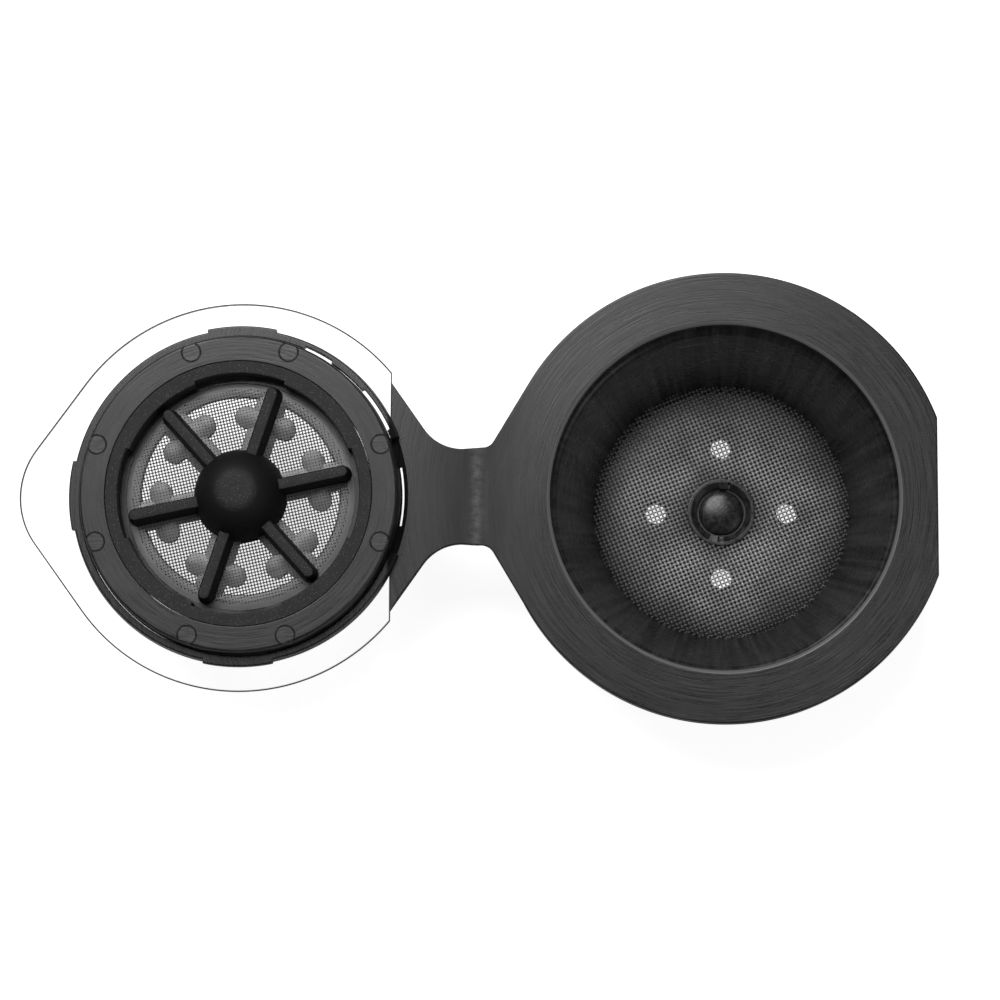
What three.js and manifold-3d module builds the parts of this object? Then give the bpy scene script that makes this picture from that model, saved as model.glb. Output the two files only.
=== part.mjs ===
// Reusable coffee capsule, lying open: a flanged cup with a fine sieve in it, and a round
// filter lid on a moulded strap, which folds over at a living hinge and plugs into the cup.
// Millimetres, +Z up. The origin is on the cup's axis, on its flat outer base, and the lid
// lies towards -X with its inner side up.

import * as THREE from 'three';
import { mergeVertices } from 'three/addons/utils/BufferGeometryUtils.js';
import Module from 'manifold-3d';

// Cup
const CUP_HEIGHT = 21.0;
const CUP_WALL = 2.0;
const CUP_FLOOR = 2.2;
const BASE_CHAMFER = 0.5;
const MOUTH_RADIUS = 24.55;
const MOUTH_DEPTH = 3.9;
const MOUTH_STEP = 0.75;
const MOUTH_CHAMFER = 0.35;
const CHAMBER_FLOOR_RADIUS = 18.8;
const FLANGE_RADIUS = 32;
const FLANGE_THICKNESS = 3.0;
const FLANGE_FLAT_CUT = 2.0;
const DRAIN_RADIUS = 1.5;
const DRAIN_CIRCLE_RADIUS = 9.55;
const DRAIN_COUNT = 4;
const LEDGE_WIDTH = 0.9;
const LEDGE_HEIGHT = 0.6;

// Strap: its cup half, its lid half, and the gap at the crease between them
const HINGE_FROM_FLANGE = 2.15;
const STRAP_THICKNESS = 1.0;
const NECK_HALF_WIDTH = 7.0;
const WAIST_HALF_WIDTH = 6.8;
const WAIST_FROM_HINGE = 2.8;
const FLARE_ANGLE = 30.8;
const FLARE_FILLET = 1.8;
const FAN_ANGLE = 55;
const FAN_FILLET = 6.6;
const CREASE_GAP = 0.4;

// Clear plate, and the rim of the strap that stands on it around the lid ring
const PLATE_THICKNESS = 0.6;
const PLATE_RADIUS = 27.7;
const PLATE_TIP_DISTANCE = 31.5;
const PLATE_TIP_RADIUS = 11.5;
const PLATE_CHORD_INSET = 1.4;
const RIM_HEIGHT = 1.4;
const RIM_CLEARANCE = 0.4;
const RIM_TOP_WIDTH = 0.65;
const RIM_BASE_WIDTH = 0.9;
const RIM_FOOT_LENGTH = 0.7;
const FAN_RECESS_DEPTH = 0.45;
const FAN_RECESS_WIDTH = 1.0;
const FAN_RECESS_SETBACK = 1.0;
const SLOT_WIDTH = 0.4;
const SLOT_CLEARANCE = 0.05;

// Lid ring, with its snap lugs and the round marks of its mould's pins
const RING_HEIGHT = 3.7;
const RING_BASE_RADIUS = 22.7;
const RING_DRAFT = 0.25;
const RING_WIDTH = 3.75;
const RING_CHAMFER = 0.3;
const RING_WALL = 0.8;
const RING_TOP_THICKNESS = 0.9;
const LUG_LENGTH = 0.8;
const LUG_WIDTH = 8.4;
const LUG_HEIGHT = 1.15;
const LUG_LIFT = 0.15;
const LUG_ANGLES = [90, 180, 270];
const LUG_CLEARANCE = 0.25;
const POCKET_WALL = 0.5;
const PIN_MARK_RADIUS = 1.33;
const PIN_MARK_DEPTH = 0.15;
const PIN_MARK_INSET = 1.5;
const PIN_MARK_ANGLE = 19;

// Retaining ring, which holds the filter frame down
const RETAINER_CLEARANCE = 0.15;
const RETAINER_WIDTH = 1.7;
const RETAINER_STEP = 0.4;
const RETAINER_STEP_ANGLE = 22;
const RETAINER_DROP = 0.05;
const RETAINER_WALL = 0.8;
const RETAINER_TOP_THICKNESS = 0.9;

// Filter frame
const FRAME_THICKNESS = 0.6;
const FRAME_DROP = 0.1;
const FRAME_CLEARANCE = 0.3;
const FRAME_BEAD_HEIGHT = 0.45;
const FRAME_BEAD_OVERLAP = 1.2;
const FRAME_SEAT_OVERLAP = 0.9;
const WINDOW_INNER_RADIUS = 6.6;
const WINDOW_MARGIN = 1.0;
const RIB_WIDTH = 3.4;
const LOBE_RADIUS = 1.6;
const LOBE_CIRCLE_RADIUS = 11.0;
const LOBE_OFFSET = 2.85;
const BOSS_RADIUS = 4.9;
const BOSS_HEIGHT = 0.7;

// Star of the lid: six spokes and a domed hub
const SPOKE_COUNT = 6;
const SPOKE_START_ANGLE = 12;
const SPOKE_BASE_WIDTH = 2.4;
const SPOKE_TOP_WIDTH = 1.7;
const SPOKE_TOP = 3.7;
const SPOKE_CLEARANCE = 0.2;
const HUB_BASE_RADIUS = 6.5;
const HUB_TOP_RADIUS = 2.2;
const HUB_TOP = 7.3;
const HUB_WALL = 1.2;

// Sieves: a thin wall with warp ridges on top, weft ridges below and gaps between them
const SIEVE_WALL = 0.1;
const SIEVE_RIDGE_HEIGHT = 0.1;
const SIEVE_PITCH = 3.4;
const SIEVE_RIDGE_WIDTH = 0.5;
const SIEVE_GAP = 2.2;
const SIEVE_HEM = 0.9;
const CUP_SIEVE_RADIUS = 18.6;
const CUP_SIEVE_HOLE_RADIUS = 5.1;
const CUP_SIEVE_TURN = 22;
const LID_SIEVE_INSET = 1.25;
const LID_SIEVE_TURN = 13.6;
const SIEVE_HOLE_CLEARANCE = 0.2;

// Socket in the middle of the cup's floor, and the round plug in it
const SOCKET_HEIGHT = 1.15;
const SOCKET_WALL = 1.35;
const SOCKET_LIP = 0.45;
const SOCKET_LIP_DROP = 0.55;
const SOCKET_SLOT_WIDTH = 0.5;
const SOCKET_SLOT_DEPTH = 0.8;
const SOCKET_SLOT_OFFSET = 0.55;
const RAMP_WIDTH = 1.1;
const RAMP_HEIGHT = 0.35;
const PLUG_CLEARANCE = 0.3;
const PLUG_SIDE_HEIGHT = 0.3;
const PLUG_DOME_HEIGHT = 0.9;

// Fineness of the round shapes
const ROUND_SEGMENTS = 48;
const SMALL_SEGMENTS = 12;
const ARC_STEP = 7.5;
const SMALL_ARC_STEP = 30;
const SMALL_ARC_RADIUS = 3;
const DOME_STEPS = 5;
const OVERCUT = 1;
const MESH_TOLERANCE = 0.005;

// Heights and places that follow from the sizes above
const FLANGE_FLAT_DISTANCE = FLANGE_RADIUS - FLANGE_FLAT_CUT;
const HINGE_X = FLANGE_RADIUS + HINGE_FROM_FLANGE;
const LID_DISTANCE = 2 * HINGE_X;
const PLATE_CHORD_DISTANCE = RING_BASE_RADIUS - PLATE_CHORD_INSET;
const RIM_INNER_RADIUS = RING_BASE_RADIUS + RIM_CLEARANCE;
const RIM_TOP_RADIUS = RIM_INNER_RADIUS + RIM_TOP_WIDTH;
const RIM_BASE_RADIUS = RIM_INNER_RADIUS + RIM_BASE_WIDTH;
const FAN_RECESS_RADIUS = RING_BASE_RADIUS + FAN_RECESS_WIDTH;
const RING_TOP_RADIUS = RING_BASE_RADIUS - RING_DRAFT;
const RING_INNER_RADIUS = RING_BASE_RADIUS - RING_WIDTH;
const LUG_RADIUS = RING_BASE_RADIUS + LUG_LENGTH;
const PIN_MARK_CIRCLE_RADIUS = RING_BASE_RADIUS - PIN_MARK_INSET;
const RETAINER_INNER_RADIUS = RING_INNER_RADIUS - RETAINER_WIDTH;
const LID_SIEVE_RADIUS = RETAINER_INNER_RADIUS - LID_SIEVE_INSET;
const WINDOW_OUTER_RADIUS = LID_SIEVE_RADIUS - WINDOW_MARGIN;
const SIEVE_THICKNESS = SIEVE_WALL + 2 * SIEVE_RIDGE_HEIGHT;
const FRAME_TOP = -FRAME_DROP;
const LID_SIEVE_TOP = FRAME_TOP + SIEVE_THICKNESS;
const FRAME_OPENING_RADIUS = LID_SIEVE_RADIUS + SIEVE_HOLE_CLEARANCE;
const FRAME_RADIUS = FRAME_OPENING_RADIUS + FRAME_BEAD_OVERLAP;
const PLATE_HOLE_RADIUS = FRAME_RADIUS + FRAME_CLEARANCE;
const SLOT_START = RING_BASE_RADIUS + SLOT_CLEARANCE;
const POCKET_RADIUS = LUG_RADIUS + LUG_CLEARANCE;
const SOCKET_RADIUS = CUP_SIEVE_HOLE_RADIUS - SIEVE_HOLE_CLEARANCE;
const SOCKET_BORE_RADIUS = SOCKET_RADIUS - SOCKET_WALL;

const wasm = await Module();
wasm.setup();

const degrees = THREE.MathUtils.degToRad;

// A closed geometry as a solid that can be joined and cut. Triangles that shrink to a line
// where a turned profile meets its axis are left out.
function solid(geometry) {
  geometry.deleteAttribute('normal');
  geometry.deleteAttribute('uv');
  const merged = mergeVertices(geometry);
  const corners = merged.index.array;
  const kept = [];
  for (let i = 0; i < corners.length; i += 3) {
    const [a, b, c] = corners.slice(i, i + 3);
    if (a !== b && b !== c && c !== a) kept.push(a, b, c);
  }
  return new wasm.Manifold(new wasm.Mesh({
    numProp: 3,
    vertProperties: merged.attributes.position.array,
    triVerts: new Uint32Array(kept),
  }));
}

// A profile of [radius, height] points, turned about the Z axis. The points run with the
// material on their left.
function turned(profile, segments = ROUND_SEGMENTS) {
  const points = profile.map(([radius, height]) => new THREE.Vector2(radius, height));
  points.push(points[0].clone());
  return solid(new THREE.LatheGeometry(points, segments).rotateX(Math.PI / 2));
}

// An outline of [x, y] points as a plate between two heights.
function plate(outline, low, high) {
  const shape = new THREE.Shape(outline.map(([x, y]) => new THREE.Vector2(x, y)));
  const geometry = new THREE.ExtrudeGeometry(shape, { depth: high - low, bevelEnabled: false });
  return solid(geometry.translate(0, 0, low));
}

// A block between two corners.
function block(low, high) {
  const [width, depth, height] = high.map((value, i) => value - low[i]);
  const middle = high.map((value, i) => (value + low[i]) / 2);
  return solid(new THREE.BoxGeometry(width, depth, height).translate(...middle));
}

// A round disc between two heights.
function disc(radius, low, high, segments = ROUND_SEGMENTS) {
  return turned([[0, low], [radius, low], [radius, high], [0, high]], segments);
}

// A pie slice of a disc, centred on an angle.
function slice(angle, halfAngle, radius, low, high) {
  return plate([[0, 0], ...arc(0, 0, radius, angle - halfAngle, angle + halfAngle)], low, high);
}

// Points of an arc, both ends included, with its angles in degrees.
function arc(x, y, radius, from, to) {
  const step = radius < SMALL_ARC_RADIUS ? SMALL_ARC_STEP : ARC_STEP;
  const steps = Math.max(1, Math.ceil(Math.abs(to - from) / step));
  return Array.from({ length: steps + 1 }, (_, i) => {
    const angle = degrees(from + (to - from) * i / steps);
    return [x + radius * Math.cos(angle), y + radius * Math.sin(angle)];
  });
}

// The same outline on the other side of the X axis, in reverse order.
function mirrored(points) {
  return points.map(([x, y]) => [x, -y]).reverse();
}

// Copies of a solid, turned about the Z axis and joined.
function ringOf(piece, angles) {
  return union(angles.map((angle) => piece.rotate([0, 0, angle])));
}

function union(pieces) {
  return pieces.reduce((sum, piece) => sum.add(piece));
}

function evenAngles(count, start = 0) {
  return Array.from({ length: count }, (_, i) => start + i * 360 / count);
}

// Inner radius of the cup's cone at a height.
function chamberRadius(height) {
  const low = CUP_FLOOR + LEDGE_HEIGHT;
  const high = CUP_HEIGHT - MOUTH_DEPTH;
  const top = MOUTH_RADIUS - MOUTH_STEP;
  return CHAMBER_FLOOR_RADIUS + (top - CHAMBER_FLOOR_RADIUS) * (height - low) / (high - low);
}

// Outside of the cup below its flange: an upright foot, then the cone, then the mouth.
function cupOutside() {
  const foot = CHAMBER_FLOOR_RADIUS + CUP_WALL;
  const footTop = CUP_FLOOR + LEDGE_HEIGHT;
  const coneTop = CUP_HEIGHT - MOUTH_DEPTH;
  const neckRadius = MOUTH_RADIUS + CUP_WALL;
  return turned([
    [0, 0],
    [foot - BASE_CHAMFER, 0],
    [foot, BASE_CHAMFER],
    [foot, footTop],
    [chamberRadius(coneTop) + CUP_WALL, coneTop],
    [neckRadius, coneTop + MOUTH_STEP / 2],
    [neckRadius, CUP_HEIGHT],
    [0, CUP_HEIGHT],
  ]);
}

// Space inside the cup: floor, ledge for the sieve, cone, step and mouth.
function cupInside() {
  const ledgeTop = CUP_FLOOR + LEDGE_HEIGHT;
  const coneTop = CUP_HEIGHT - MOUTH_DEPTH;
  return turned([
    [0, CUP_FLOOR],
    [CHAMBER_FLOOR_RADIUS - LEDGE_WIDTH, CUP_FLOOR],
    [CHAMBER_FLOOR_RADIUS - LEDGE_WIDTH, ledgeTop],
    [CHAMBER_FLOOR_RADIUS, ledgeTop],
    [chamberRadius(coneTop), coneTop],
    [MOUTH_RADIUS, coneTop + MOUTH_STEP / 2],
    [MOUTH_RADIUS, CUP_HEIGHT - MOUTH_CHAMFER],
    [MOUTH_RADIUS + MOUTH_CHAMFER, CUP_HEIGHT],
    [MOUTH_RADIUS + MOUTH_CHAMFER, CUP_HEIGHT + OVERCUT],
    [0, CUP_HEIGHT + OVERCUT],
  ]);
}

// Flange: a disc with one straight side, opposite the lid.
function flange() {
  const flat = THREE.MathUtils.radToDeg(Math.acos(FLANGE_FLAT_DISTANCE / FLANGE_RADIUS));
  const outline = arc(0, 0, FLANGE_RADIUS, flat, 360 - flat);
  return plate(outline, CUP_HEIGHT - FLANGE_THICKNESS, CUP_HEIGHT);
}

// Cup half of the neck: straight flanks leave the flange along its tangents and turn, by a
// fillet, into the neck's parallel sides, which end at the crease.
function cupNeck() {
  const tangent = degrees(180 - FLARE_ANGLE);
  const start = [FLANGE_RADIUS * Math.cos(tangent), FLANGE_RADIUS * Math.sin(tangent)];
  const run = (start[1] - NECK_HALF_WIDTH) / Math.cos(degrees(FLARE_ANGLE));
  const cornerX = start[0] - run * Math.sin(degrees(FLARE_ANGLE));
  const turn = 90 - FLARE_ANGLE;
  const setback = FLARE_FILLET * Math.tan(degrees(turn / 2));
  const fillet = arc(cornerX - setback, NECK_HALF_WIDTH + FLARE_FILLET, FLARE_FILLET, turn - 90, -90);
  const endX = -HINGE_X + CREASE_GAP / 2;
  const side = [start, ...fillet.filter(([x]) => x > endX), [endX, NECK_HALF_WIDTH]];
  return plate([...side, ...mirrored(side)], CUP_HEIGHT - STRAP_THICKNESS, CUP_HEIGHT);
}

function cupBody() {
  const drain = disc(DRAIN_RADIUS, -OVERCUT, CUP_FLOOR + OVERCUT, SMALL_SEGMENTS);
  const drains = ringOf(drain.translate([DRAIN_CIRCLE_RADIUS, 0, 0]), evenAngles(DRAIN_COUNT));
  return union([cupOutside(), flange(), cupNeck()]).subtract(cupInside()).subtract(drains);
}

// Lid half of the strap, seen from the lid's axis: the neck, the fan and its straight edge
// along the clear plate.
function lidFan() {
  const endX = HINGE_X - CREASE_GAP / 2;
  const waistX = HINGE_X - WAIST_FROM_HINGE;
  const fillet = arc(waistX, WAIST_HALF_WIDTH + FAN_FILLET, FAN_FILLET, 270, 270 - FAN_ANGLE);
  const [lastX, lastY] = fillet[fillet.length - 1];
  const edgeY = lastY + (lastX - PLATE_CHORD_DISTANCE) * Math.tan(degrees(FAN_ANGLE));
  const side = [[endX, NECK_HALF_WIDTH], ...fillet, [PLATE_CHORD_DISTANCE, edgeY]];
  return plate([...side, ...mirrored(side)], -STRAP_THICKNESS, 0);
}

// Low rim around the lid ring. It stands on the clear plate, ends on the fan, and bulges out
// around a pocket for each lug.
function lidRim() {
  const rim = turned([
    [RIM_INNER_RADIUS, 0],
    [RIM_BASE_RADIUS, 0],
    [RIM_TOP_RADIUS, RIM_HEIGHT],
    [RIM_INNER_RADIUS, RIM_HEIGHT],
  ]);
  const pocket = atLugs(POCKET_RADIUS, LUG_WIDTH / 2 + LUG_CLEARANCE, -OVERCUT, RIM_HEIGHT + OVERCUT);
  const bulge = atLugs(
    POCKET_RADIUS + POCKET_WALL, LUG_WIDTH / 2 + LUG_CLEARANCE + POCKET_WALL, 0, RIM_HEIGHT);
  const open = fanSide(RIM_FOOT_LENGTH, -OVERCUT, RIM_HEIGHT + OVERCUT);
  return rim.add(bulge).subtract(pocket).subtract(open);
}

// Parts of a band around the lid ring that lie at the lugs, to a half width on either side.
function atLugs(radius, half, low, high) {
  const band = turned([
    [RIM_INNER_RADIUS, low],
    [radius, low],
    [radius, high],
    [RIM_INNER_RADIUS, high],
  ]);
  const keep = block([0, -half, low - OVERCUT], [radius + OVERCUT, half, high + OVERCUT]);
  return band.intersect(ringOf(keep, LUG_ANGLES));
}

// The space around the lid ring over the fan, from a setback behind the fan's straight edge.
function fanSide(setback, low, high) {
  const reach = RIM_BASE_RADIUS + OVERCUT;
  return block([PLATE_CHORD_DISTANCE + setback, -reach, low], [reach, reach, high]);
}

// Strap's lid half: fan and rim in one moulding, with a shallow recess beside the lid ring
// and a slot where the ring has no lug.
function lidStrap() {
  const recess = disc(FAN_RECESS_RADIUS, -FAN_RECESS_DEPTH, OVERCUT);
  const slot = block(
    [SLOT_START, -LUG_WIDTH / 2, -STRAP_THICKNESS - OVERCUT],
    [SLOT_START + SLOT_WIDTH, LUG_WIDTH / 2, OVERCUT],
  );
  const recessInFan = recess.intersect(fanSide(FAN_RECESS_SETBACK, -FAN_RECESS_DEPTH, OVERCUT));
  return lidFan().subtract(recessInFan).subtract(slot).add(lidRim());
}

// Clear plate: a round disc drawn out to a blunt tip, cut straight where the fan meets it.
function clearPlate() {
  const tipX = -(PLATE_TIP_DISTANCE - PLATE_TIP_RADIUS);
  const spread = THREE.MathUtils.radToDeg(Math.acos((PLATE_RADIUS - PLATE_TIP_RADIUS) / -tipX));
  const chord = THREE.MathUtils.radToDeg(Math.acos(PLATE_CHORD_DISTANCE / PLATE_RADIUS));
  const outline = [
    ...arc(0, 0, PLATE_RADIUS, chord, 180 - spread),
    ...arc(tipX, 0, PLATE_TIP_RADIUS, 180 - spread, 180 + spread),
    ...arc(0, 0, PLATE_RADIUS, 180 + spread, 360 - chord),
  ];
  const hole = disc(PLATE_HOLE_RADIUS, -PLATE_THICKNESS - OVERCUT, OVERCUT);
  return plate(outline, -PLATE_THICKNESS, 0).subtract(hole);
}

// Lid ring: a channel section, open towards the plate.
function lidRing() {
  const inner = RING_INNER_RADIUS;
  const innerWall = inner + RING_WALL;
  const outerWall = RING_BASE_RADIUS - RING_WALL;
  const ceiling = RING_HEIGHT - RING_TOP_THICKNESS;
  const channel = turned([
    [inner, 0],
    [innerWall, 0],
    [innerWall, ceiling],
    [outerWall, ceiling],
    [outerWall, 0],
    [RING_BASE_RADIUS, 0],
    [RING_TOP_RADIUS, RING_HEIGHT - RING_CHAMFER],
    [RING_TOP_RADIUS - RING_CHAMFER, RING_HEIGHT],
    [inner, RING_HEIGHT],
  ]);
  return channel.add(lidLugs()).subtract(pinMarks());
}

// Lugs, rooted in the middle of the ring's outer wall.
function lidLugs() {
  const root = RING_BASE_RADIUS - RING_WALL / 2;
  const band = turned([
    [root, LUG_LIFT],
    [LUG_RADIUS, LUG_LIFT],
    [LUG_RADIUS, LUG_LIFT + LUG_HEIGHT],
    [root, LUG_LIFT + LUG_HEIGHT],
  ]);
  const half = LUG_WIDTH / 2;
  const keep = block([0, -half, 0], [LUG_RADIUS + OVERCUT, half, RING_HEIGHT]);
  return band.intersect(ringOf(keep, LUG_ANGLES));
}

function pinMarks() {
  const low = RING_HEIGHT - PIN_MARK_DEPTH;
  const mark = disc(PIN_MARK_RADIUS, low, RING_HEIGHT + OVERCUT, SMALL_SEGMENTS);
  const angles = evenAngles(4).flatMap((angle) => [angle - PIN_MARK_ANGLE, angle + PIN_MARK_ANGLE]);
  return ringOf(mark.translate([PIN_MARK_CIRCLE_RADIUS, 0, 0]), angles);
}

// Retaining ring: a flange on a skirt. Its bore is a little tighter on the four diagonals.
function retainingRing() {
  const outer = RING_INNER_RADIUS - RETAINER_CLEARANCE;
  const top = RING_HEIGHT - RETAINER_DROP;
  const tight = RETAINER_INNER_RADIUS - RETAINER_STEP;
  const skirt = RETAINER_INNER_RADIUS + RETAINER_WALL;
  const underside = top - RETAINER_TOP_THICKNESS;
  const ring = turned([
    [tight, FRAME_BEAD_HEIGHT],
    [skirt, FRAME_BEAD_HEIGHT],
    [skirt, underside],
    [outer, underside],
    [outer, top],
    [tight, top],
  ]);
  const relief = slice(0, RETAINER_STEP_ANGLE, RETAINER_INNER_RADIUS, 0, RING_HEIGHT + OVERCUT);
  return ring.subtract(ringOf(relief, evenAngles(4)));
}

// A flat bar with round ends, lying along X.
function stadium(from, to, halfWidth) {
  return [...arc(to, 0, halfWidth, -90, 90), ...arc(from, 0, halfWidth, 90, 270)];
}

// Openings of the filter frame: a wide annulus less its ribs and the lobes beside them.
function frameWindows() {
  const low = FRAME_TOP - FRAME_THICKNESS - OVERCUT;
  const high = FRAME_TOP + OVERCUT;
  const annulus = turned([
    [WINDOW_INNER_RADIUS, low],
    [WINDOW_OUTER_RADIUS, low],
    [WINDOW_OUTER_RADIUS, high],
    [WINDOW_INNER_RADIUS, high],
  ]);
  const rib = block([0, -RIB_WIDTH / 2, low], [WINDOW_OUTER_RADIUS + OVERCUT, RIB_WIDTH / 2, high]);
  const lobes = plate(stadium(-LOBE_OFFSET, LOBE_OFFSET, LOBE_RADIUS), low, high);
  const crossBar = lobes.rotate([0, 0, 90]).translate([LOBE_CIRCLE_RADIUS, 0, 0]);
  return annulus.subtract(ringOf(rib.add(crossBar), evenAngles(SPOKE_COUNT, SPOKE_START_ANGLE)));
}

// Filter frame: a windowed disc in the plate's hole, with a bead that rests on the plate and
// a boss that centres the sieve and the star.
function filterFrame() {
  const bottom = FRAME_TOP - FRAME_THICKNESS;
  const disk = turned([
    [0, bottom],
    [FRAME_RADIUS, bottom],
    [FRAME_RADIUS, 0],
    [FRAME_RADIUS + FRAME_SEAT_OVERLAP, 0],
    [FRAME_RADIUS + FRAME_SEAT_OVERLAP, FRAME_BEAD_HEIGHT],
    [FRAME_OPENING_RADIUS, FRAME_BEAD_HEIGHT],
    [FRAME_OPENING_RADIUS, FRAME_TOP],
    [BOSS_RADIUS, FRAME_TOP],
    [BOSS_RADIUS, FRAME_TOP + BOSS_HEIGHT],
    [0, FRAME_TOP + BOSS_HEIGHT],
  ]);
  return disk.subtract(frameWindows());
}

// A bar that narrows upwards, with round ends, between two heights.
function taperedBar(from, to, lowWidth, highWidth, low, high) {
  const lower = stadium(from, to, lowWidth / 2);
  const upper = stadium(from, to, highWidth / 2);
  const count = lower.length;
  const corners = [...lower.map(([x, y]) => [x, y, low]), ...upper.map(([x, y]) => [x, y, high])];
  const lid = THREE.ShapeUtils.triangulateShape(upper.map(([x, y]) => new THREE.Vector2(x, y)), []);
  const faces = lid.flatMap(([a, b, c]) => [[a + count, b + count, c + count], [c, b, a]]);
  for (let i = 0; i < count; i += 1) {
    const next = (i + 1) % count;
    faces.push([i, next, next + count], [i, next + count, i + count]);
  }
  const geometry = new THREE.BufferGeometry();
  geometry.setAttribute('position', new THREE.Float32BufferAttribute(corners.flat(), 3));
  geometry.setIndex(faces.flat());
  return solid(geometry);
}

// Points of a dome's outline, from its foot up along a quarter of an ellipse to its flat top.
function dome(footRadius, topRadius, low, high) {
  return Array.from({ length: DOME_STEPS + 1 }, (_, i) => {
    const angle = degrees(90 * i / DOME_STEPS);
    const radius = topRadius + (footRadius - topRadius) * Math.cos(angle);
    return [radius, low + (high - low) * Math.sin(angle)];
  });
}

// Star: a hollow domed hub with six spokes, which presses the lid's sieve onto its frame.
function lidStar() {
  const base = LID_SIEVE_TOP;
  const hub = turned([
    [0, base],
    ...dome(HUB_BASE_RADIUS, HUB_TOP_RADIUS, base, HUB_TOP),
    [0, HUB_TOP],
  ], ROUND_SEGMENTS / 2);
  const hollowRadius = HUB_BASE_RADIUS - HUB_WALL;
  const hollow = turned([
    [0, base - OVERCUT],
    [hollowRadius, base - OVERCUT],
    ...dome(hollowRadius, HUB_TOP_RADIUS, base, HUB_TOP - HUB_WALL),
    [0, HUB_TOP - HUB_WALL],
  ], ROUND_SEGMENTS / 2);
  const reach = LID_SIEVE_RADIUS - SPOKE_CLEARANCE - SPOKE_BASE_WIDTH / 2;
  const spoke = taperedBar(hollowRadius, reach, SPOKE_BASE_WIDTH, SPOKE_TOP_WIDTH, base, SPOKE_TOP);
  return ringOf(spoke, evenAngles(SPOKE_COUNT, SPOKE_START_ANGLE)).add(hub).subtract(hollow);
}

// Rows of places across a sieve, one pitch apart and centred on its axis.
function sieveRows(radius) {
  const count = Math.floor(radius / SIEVE_PITCH);
  return Array.from({ length: 2 * count + 1 }, (_, i) => (i - count) * SIEVE_PITCH);
}

// Square gaps of a sieve that lie clear of its hem and of the hem around its hole.
function sieveGaps(radius, holeRadius, low, high) {
  const half = SIEVE_GAP / 2;
  const gaps = [];
  for (const x of sieveRows(radius)) {
    for (const y of sieveRows(radius)) {
      const far = Math.hypot(Math.abs(x) + half, Math.abs(y) + half);
      const near = Math.hypot(Math.max(Math.abs(x) - half, 0), Math.max(Math.abs(y) - half, 0));
      if (far < radius - SIEVE_HEM && near > holeRadius + SIEVE_HEM / 2) {
        gaps.push(block([x - half, y - half, low], [x + half, y + half, high]));
      }
    }
  }
  return union(gaps);
}

// Raised ridges between the rows of gaps, along X, within the sieve's hem.
function sieveRidges(radius, holeRadius, low, high) {
  const half = SIEVE_RIDGE_WIDTH / 2;
  const rows = sieveRows(radius).map((y) => y + SIEVE_PITCH / 2).filter((y) => y < radius - SIEVE_HEM);
  const bars = rows.map((y) => block([-radius, y - half, low], [radius, y + half, high]));
  const inside = disc(radius - SIEVE_HEM, low, high);
  return union(bars).intersect(inside).subtract(disc(holeRadius + SIEVE_HEM / 2, low, high));
}

// A round sieve that lies on a height, turned to the direction of its weave.
function sieve(radius, holeRadius, turn, bottom) {
  const wallLow = bottom + SIEVE_RIDGE_HEIGHT;
  const wallHigh = wallLow + SIEVE_WALL;
  const middle = (wallLow + wallHigh) / 2;
  const top = wallHigh + SIEVE_RIDGE_HEIGHT;
  const hole = disc(holeRadius, bottom - OVERCUT, top + OVERCUT, ROUND_SEGMENTS / 2);
  const wall = disc(radius, wallLow, wallHigh)
    .subtract(sieveGaps(radius, holeRadius, bottom - OVERCUT, top + OVERCUT));
  const warp = sieveRidges(radius, holeRadius, middle, top);
  const weft = sieveRidges(radius, holeRadius, bottom, middle).rotate([0, 0, 90]);
  return union([wall, warp, weft]).subtract(hole).rotate([0, 0, turn]);
}

// Socket: a low collar with a sloping lip, two slots in it and a small ramp beside each.
function socket() {
  const low = CUP_FLOOR;
  const high = CUP_FLOOR + SOCKET_HEIGHT;
  const collar = turned([
    [SOCKET_BORE_RADIUS, low],
    [SOCKET_RADIUS, low],
    [SOCKET_RADIUS, high],
    [SOCKET_RADIUS - SOCKET_LIP, high],
    [SOCKET_BORE_RADIUS, high - SOCKET_LIP_DROP],
  ], ROUND_SEGMENTS / 2);
  const slot = block(
    [SOCKET_BORE_RADIUS - OVERCUT, SOCKET_SLOT_OFFSET, high - SOCKET_SLOT_DEPTH],
    [SOCKET_RADIUS - SOCKET_LIP, SOCKET_SLOT_OFFSET + SOCKET_SLOT_WIDTH, high + OVERCUT],
  );
  const ramp = block(
    [SOCKET_BORE_RADIUS + PLUG_CLEARANCE / 2, SOCKET_SLOT_OFFSET - RAMP_WIDTH, low],
    [SOCKET_RADIUS - SOCKET_LIP / 2, SOCKET_SLOT_OFFSET, high - SOCKET_LIP_DROP + RAMP_HEIGHT],
  );
  const sides = [-90, 90];
  return collar.subtract(ringOf(slot, sides)).add(ringOf(ramp, sides));
}

// Plug: a short round button with a domed top.
function plug() {
  const radius = SOCKET_BORE_RADIUS - PLUG_CLEARANCE;
  const side = CUP_FLOOR + PLUG_SIDE_HEIGHT;
  return turned([
    [0, CUP_FLOOR],
    [radius, CUP_FLOOR],
    ...dome(radius, 0, side, side + PLUG_DOME_HEIGHT),
  ], ROUND_SEGMENTS / 2);
}

function material(color, roughness, metalness = 0) {
  return new THREE.MeshStandardMaterial({ color, roughness, metalness });
}

// A named mesh of a solid, without the slivers that joining and cutting leave.
function named(name, piece, finish) {
  const mesh = piece.asOriginal().simplify(MESH_TOLERANCE).getMesh();
  const geometry = new THREE.BufferGeometry();
  geometry.setAttribute('position', new THREE.Float32BufferAttribute(mesh.vertProperties, 3));
  geometry.setIndex(Array.from(mesh.triVerts));
  geometry.computeVertexNormals();
  const part = new THREE.Mesh(geometry, finish);
  part.name = name;
  return part;
}

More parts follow.
